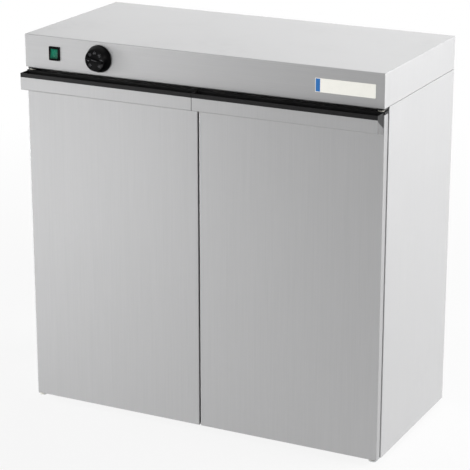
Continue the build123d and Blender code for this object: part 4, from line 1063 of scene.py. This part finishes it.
class WARMER_OT_studio(CabinetOperator):
    """A pale floor, soft lamps and the camera."""

    bl_idname = "warmer.studio"
    bl_label = "Studio"

    FLOOR = 9.0  # half of the floor's width
    FADE = (0.9, 2.6)  # distances from the cabinet between which the floor fades into the background
    NEAR_GLOW = 0.86  # how white the floor looks before it fades
    # Each lamp's place, what it aims at, its width and height, and its spread in degrees
    LAMPS = {
        "side": ((4.1, 1.55, 1.45), (0.45, 0.1, 0.4), (3.7, 2.7), 180),
        "top": ((0.2, 1.3, 2.6), (0.0, 0.0, 0.86), (2.0, 2.0), 180),
        "front": ((-1.0, -2.0, 0.8), (-0.55, -0.2, 0.5), (0.3, 1.5), 55),
        "key": ((-2.6, -1.2, 0.5), (-0.45, -0.2, 0.25), (0.6, 0.9), 34),
        "back": ((-0.8, 3.2, 1.6), (0.0, 0.1, 0.86), (3.4, 1.2), 180),
    }

    def execute(self, context):
        scene = context.scene
        studio = scene.warmer_studio
        scene.view_settings.view_transform = "Standard"
        self.camera(scene, studio)
        self.world(scene, studio)
        self.floor(scene, studio)
        for name, lamp in self.LAMPS.items():
            self.lamp(scene, f"{name}_lamp", getattr(studio, name), *lamp)
        return {"FINISHED"}

    def camera(self, scene, studio):
        camera = bpy.data.objects.new("camera", bpy.data.cameras.new("camera"))
        camera.data.lens = studio.lens
        camera.location = studio.camera
        camera.rotation_euler = (radians(90) - studio.tilt, 0, studio.turn)
        scene.collection.objects.link(camera)
        scene.camera = camera

    def backdrop_rays(self, nodes):
        """Masks of the rays that show the white background: the camera's, and those in gloss and glass."""
        path = nodes.add("ShaderNodeLightPath").outputs
        mirrored = nodes.math("MAXIMUM", path["Is Glossy Ray"], path["Is Transmission Ray"])
        return path["Is Camera Ray"], mirrored

    def world(self, scene, studio):
        """A background that is white to look at and in mirrors, and lights the room at the fill's level."""
        world = bpy.data.worlds.new("studio")
        world.use_nodes = True
        nodes = Wiring(world.node_tree)
        background = world.node_tree.nodes["Background"].inputs
        white = nodes.math("MAXIMUM", *self.backdrop_rays(nodes))
        nodes.feed(background["Color"], WHITE)
        nodes.feed(background["Strength"], nodes.between(white, studio.fill, 1.0))
        scene.world = world

    def floor(self, scene, studio):
        """A wide pale floor that fades into the white background away from the cabinet."""
        shape = bmesh.new()
        bmesh.ops.create_grid(shape, x_segments=2, y_segments=2, size=self.FLOOR)
        mesh = bpy.data.meshes.new("floor")
        shape.to_mesh(mesh)
        shape.free()
        floor = bpy.data.objects.new("floor", mesh)
        scene.collection.objects.link(floor)
        finish = Finish("pale_floor", Emission_Color=WHITE)
        speckle = finish.spread(finish.noise(finish.point, scale=90.0), 0.3, 0.7)
        finish.paint(finish.mix(speckle, shade(studio.floor, 0.985), studio.floor), 0.9)
        away = finish.add("ShaderNodeVectorMath", {0: finish.point}, operation="LENGTH").outputs["Value"]
        glow = finish.add("ShaderNodeEmission", {"Color": WHITE, "Strength": 1.0})
        seen, mirrored = self.backdrop_rays(finish)
        share = finish.math("MULTIPLY", seen, finish.spread(away, *self.FADE, self.NEAR_GLOW, 1.0))
        share = finish.math("MAXIMUM", share, mirrored)
        inputs = {0: share, 1: finish.shader.outputs[0], 2: glow.outputs[0]}
        mixed = finish.add("ShaderNodeMixShader", inputs)
        finish.feed(finish.tree.nodes["Material Output"].inputs["Surface"], mixed.outputs[0])
        mesh.materials.append(finish.material)

    def lamp(self, scene, name, power, place, aim, size, spread):
        """A soft lamp, whose grid narrows it to a spread in degrees."""
        light = bpy.data.lights.new(name, "AREA")
        light.energy = power
        light.shape = "RECTANGLE"
        light.size, light.size_y = size
        light.spread = radians(spread)
        lamp = bpy.data.objects.new(name, light)
        lamp.location = place
        lamp.rotation_euler = (Vector(aim) - Vector(place)).to_track_quat("-Z", "Y").to_euler()
        scene.collection.objects.link(lamp)


OPERATORS = (
    WARMER_OT_outer_sheets, WARMER_OT_inner_sheets, WARMER_OT_door_grips, WARMER_OT_shelves,
    WARMER_OT_hardware, WARMER_OT_heater, WARMER_OT_insulation, WARMER_OT_wiring,
    WARMER_OT_thermostat_knob, WARMER_OT_power_switch, WARMER_OT_nameplate, WARMER_OT_cable_gland,
    WARMER_OT_studio,
)


class WARMER_PT_panel(bpy.types.Panel):
    """Lists the cabinet's settings and operators in the sidebar."""

    bl_idname = "WARMER_PT_panel"
    bl_label = "Plate Warmer Cabinet"
    bl_space_type = "VIEW_3D"
    bl_region_type = "UI"
    bl_category = "Plate Warmer"

    def draw(self, context):
        for name, settings in SETTINGS.items():
            box = self.layout.box()
            for key in settings.__annotations__:
                box.prop(getattr(context.scene, name), key)
        for operator in OPERATORS:
            self.layout.operator(operator.bl_idname)


def register():
    for kind in (*SETTINGS.values(), *OPERATORS, WARMER_PT_panel):
        bpy.utils.register_class(kind)
    for name, settings in SETTINGS.items():
        setattr(bpy.types.Scene, name, PointerProperty(type=settings))


def unregister():
    for name in SETTINGS:
        delattr(bpy.types.Scene, name)
    for kind in reversed((*SETTINGS.values(), *OPERATORS, WARMER_PT_panel)):
        bpy.utils.unregister_class(kind)


def main():
    register()
    for operator in OPERATORS:
        group, name = operator.bl_idname.split(".")
        getattr(getattr(bpy.ops, group), name)()


if __name__ == "__main__":
    main()
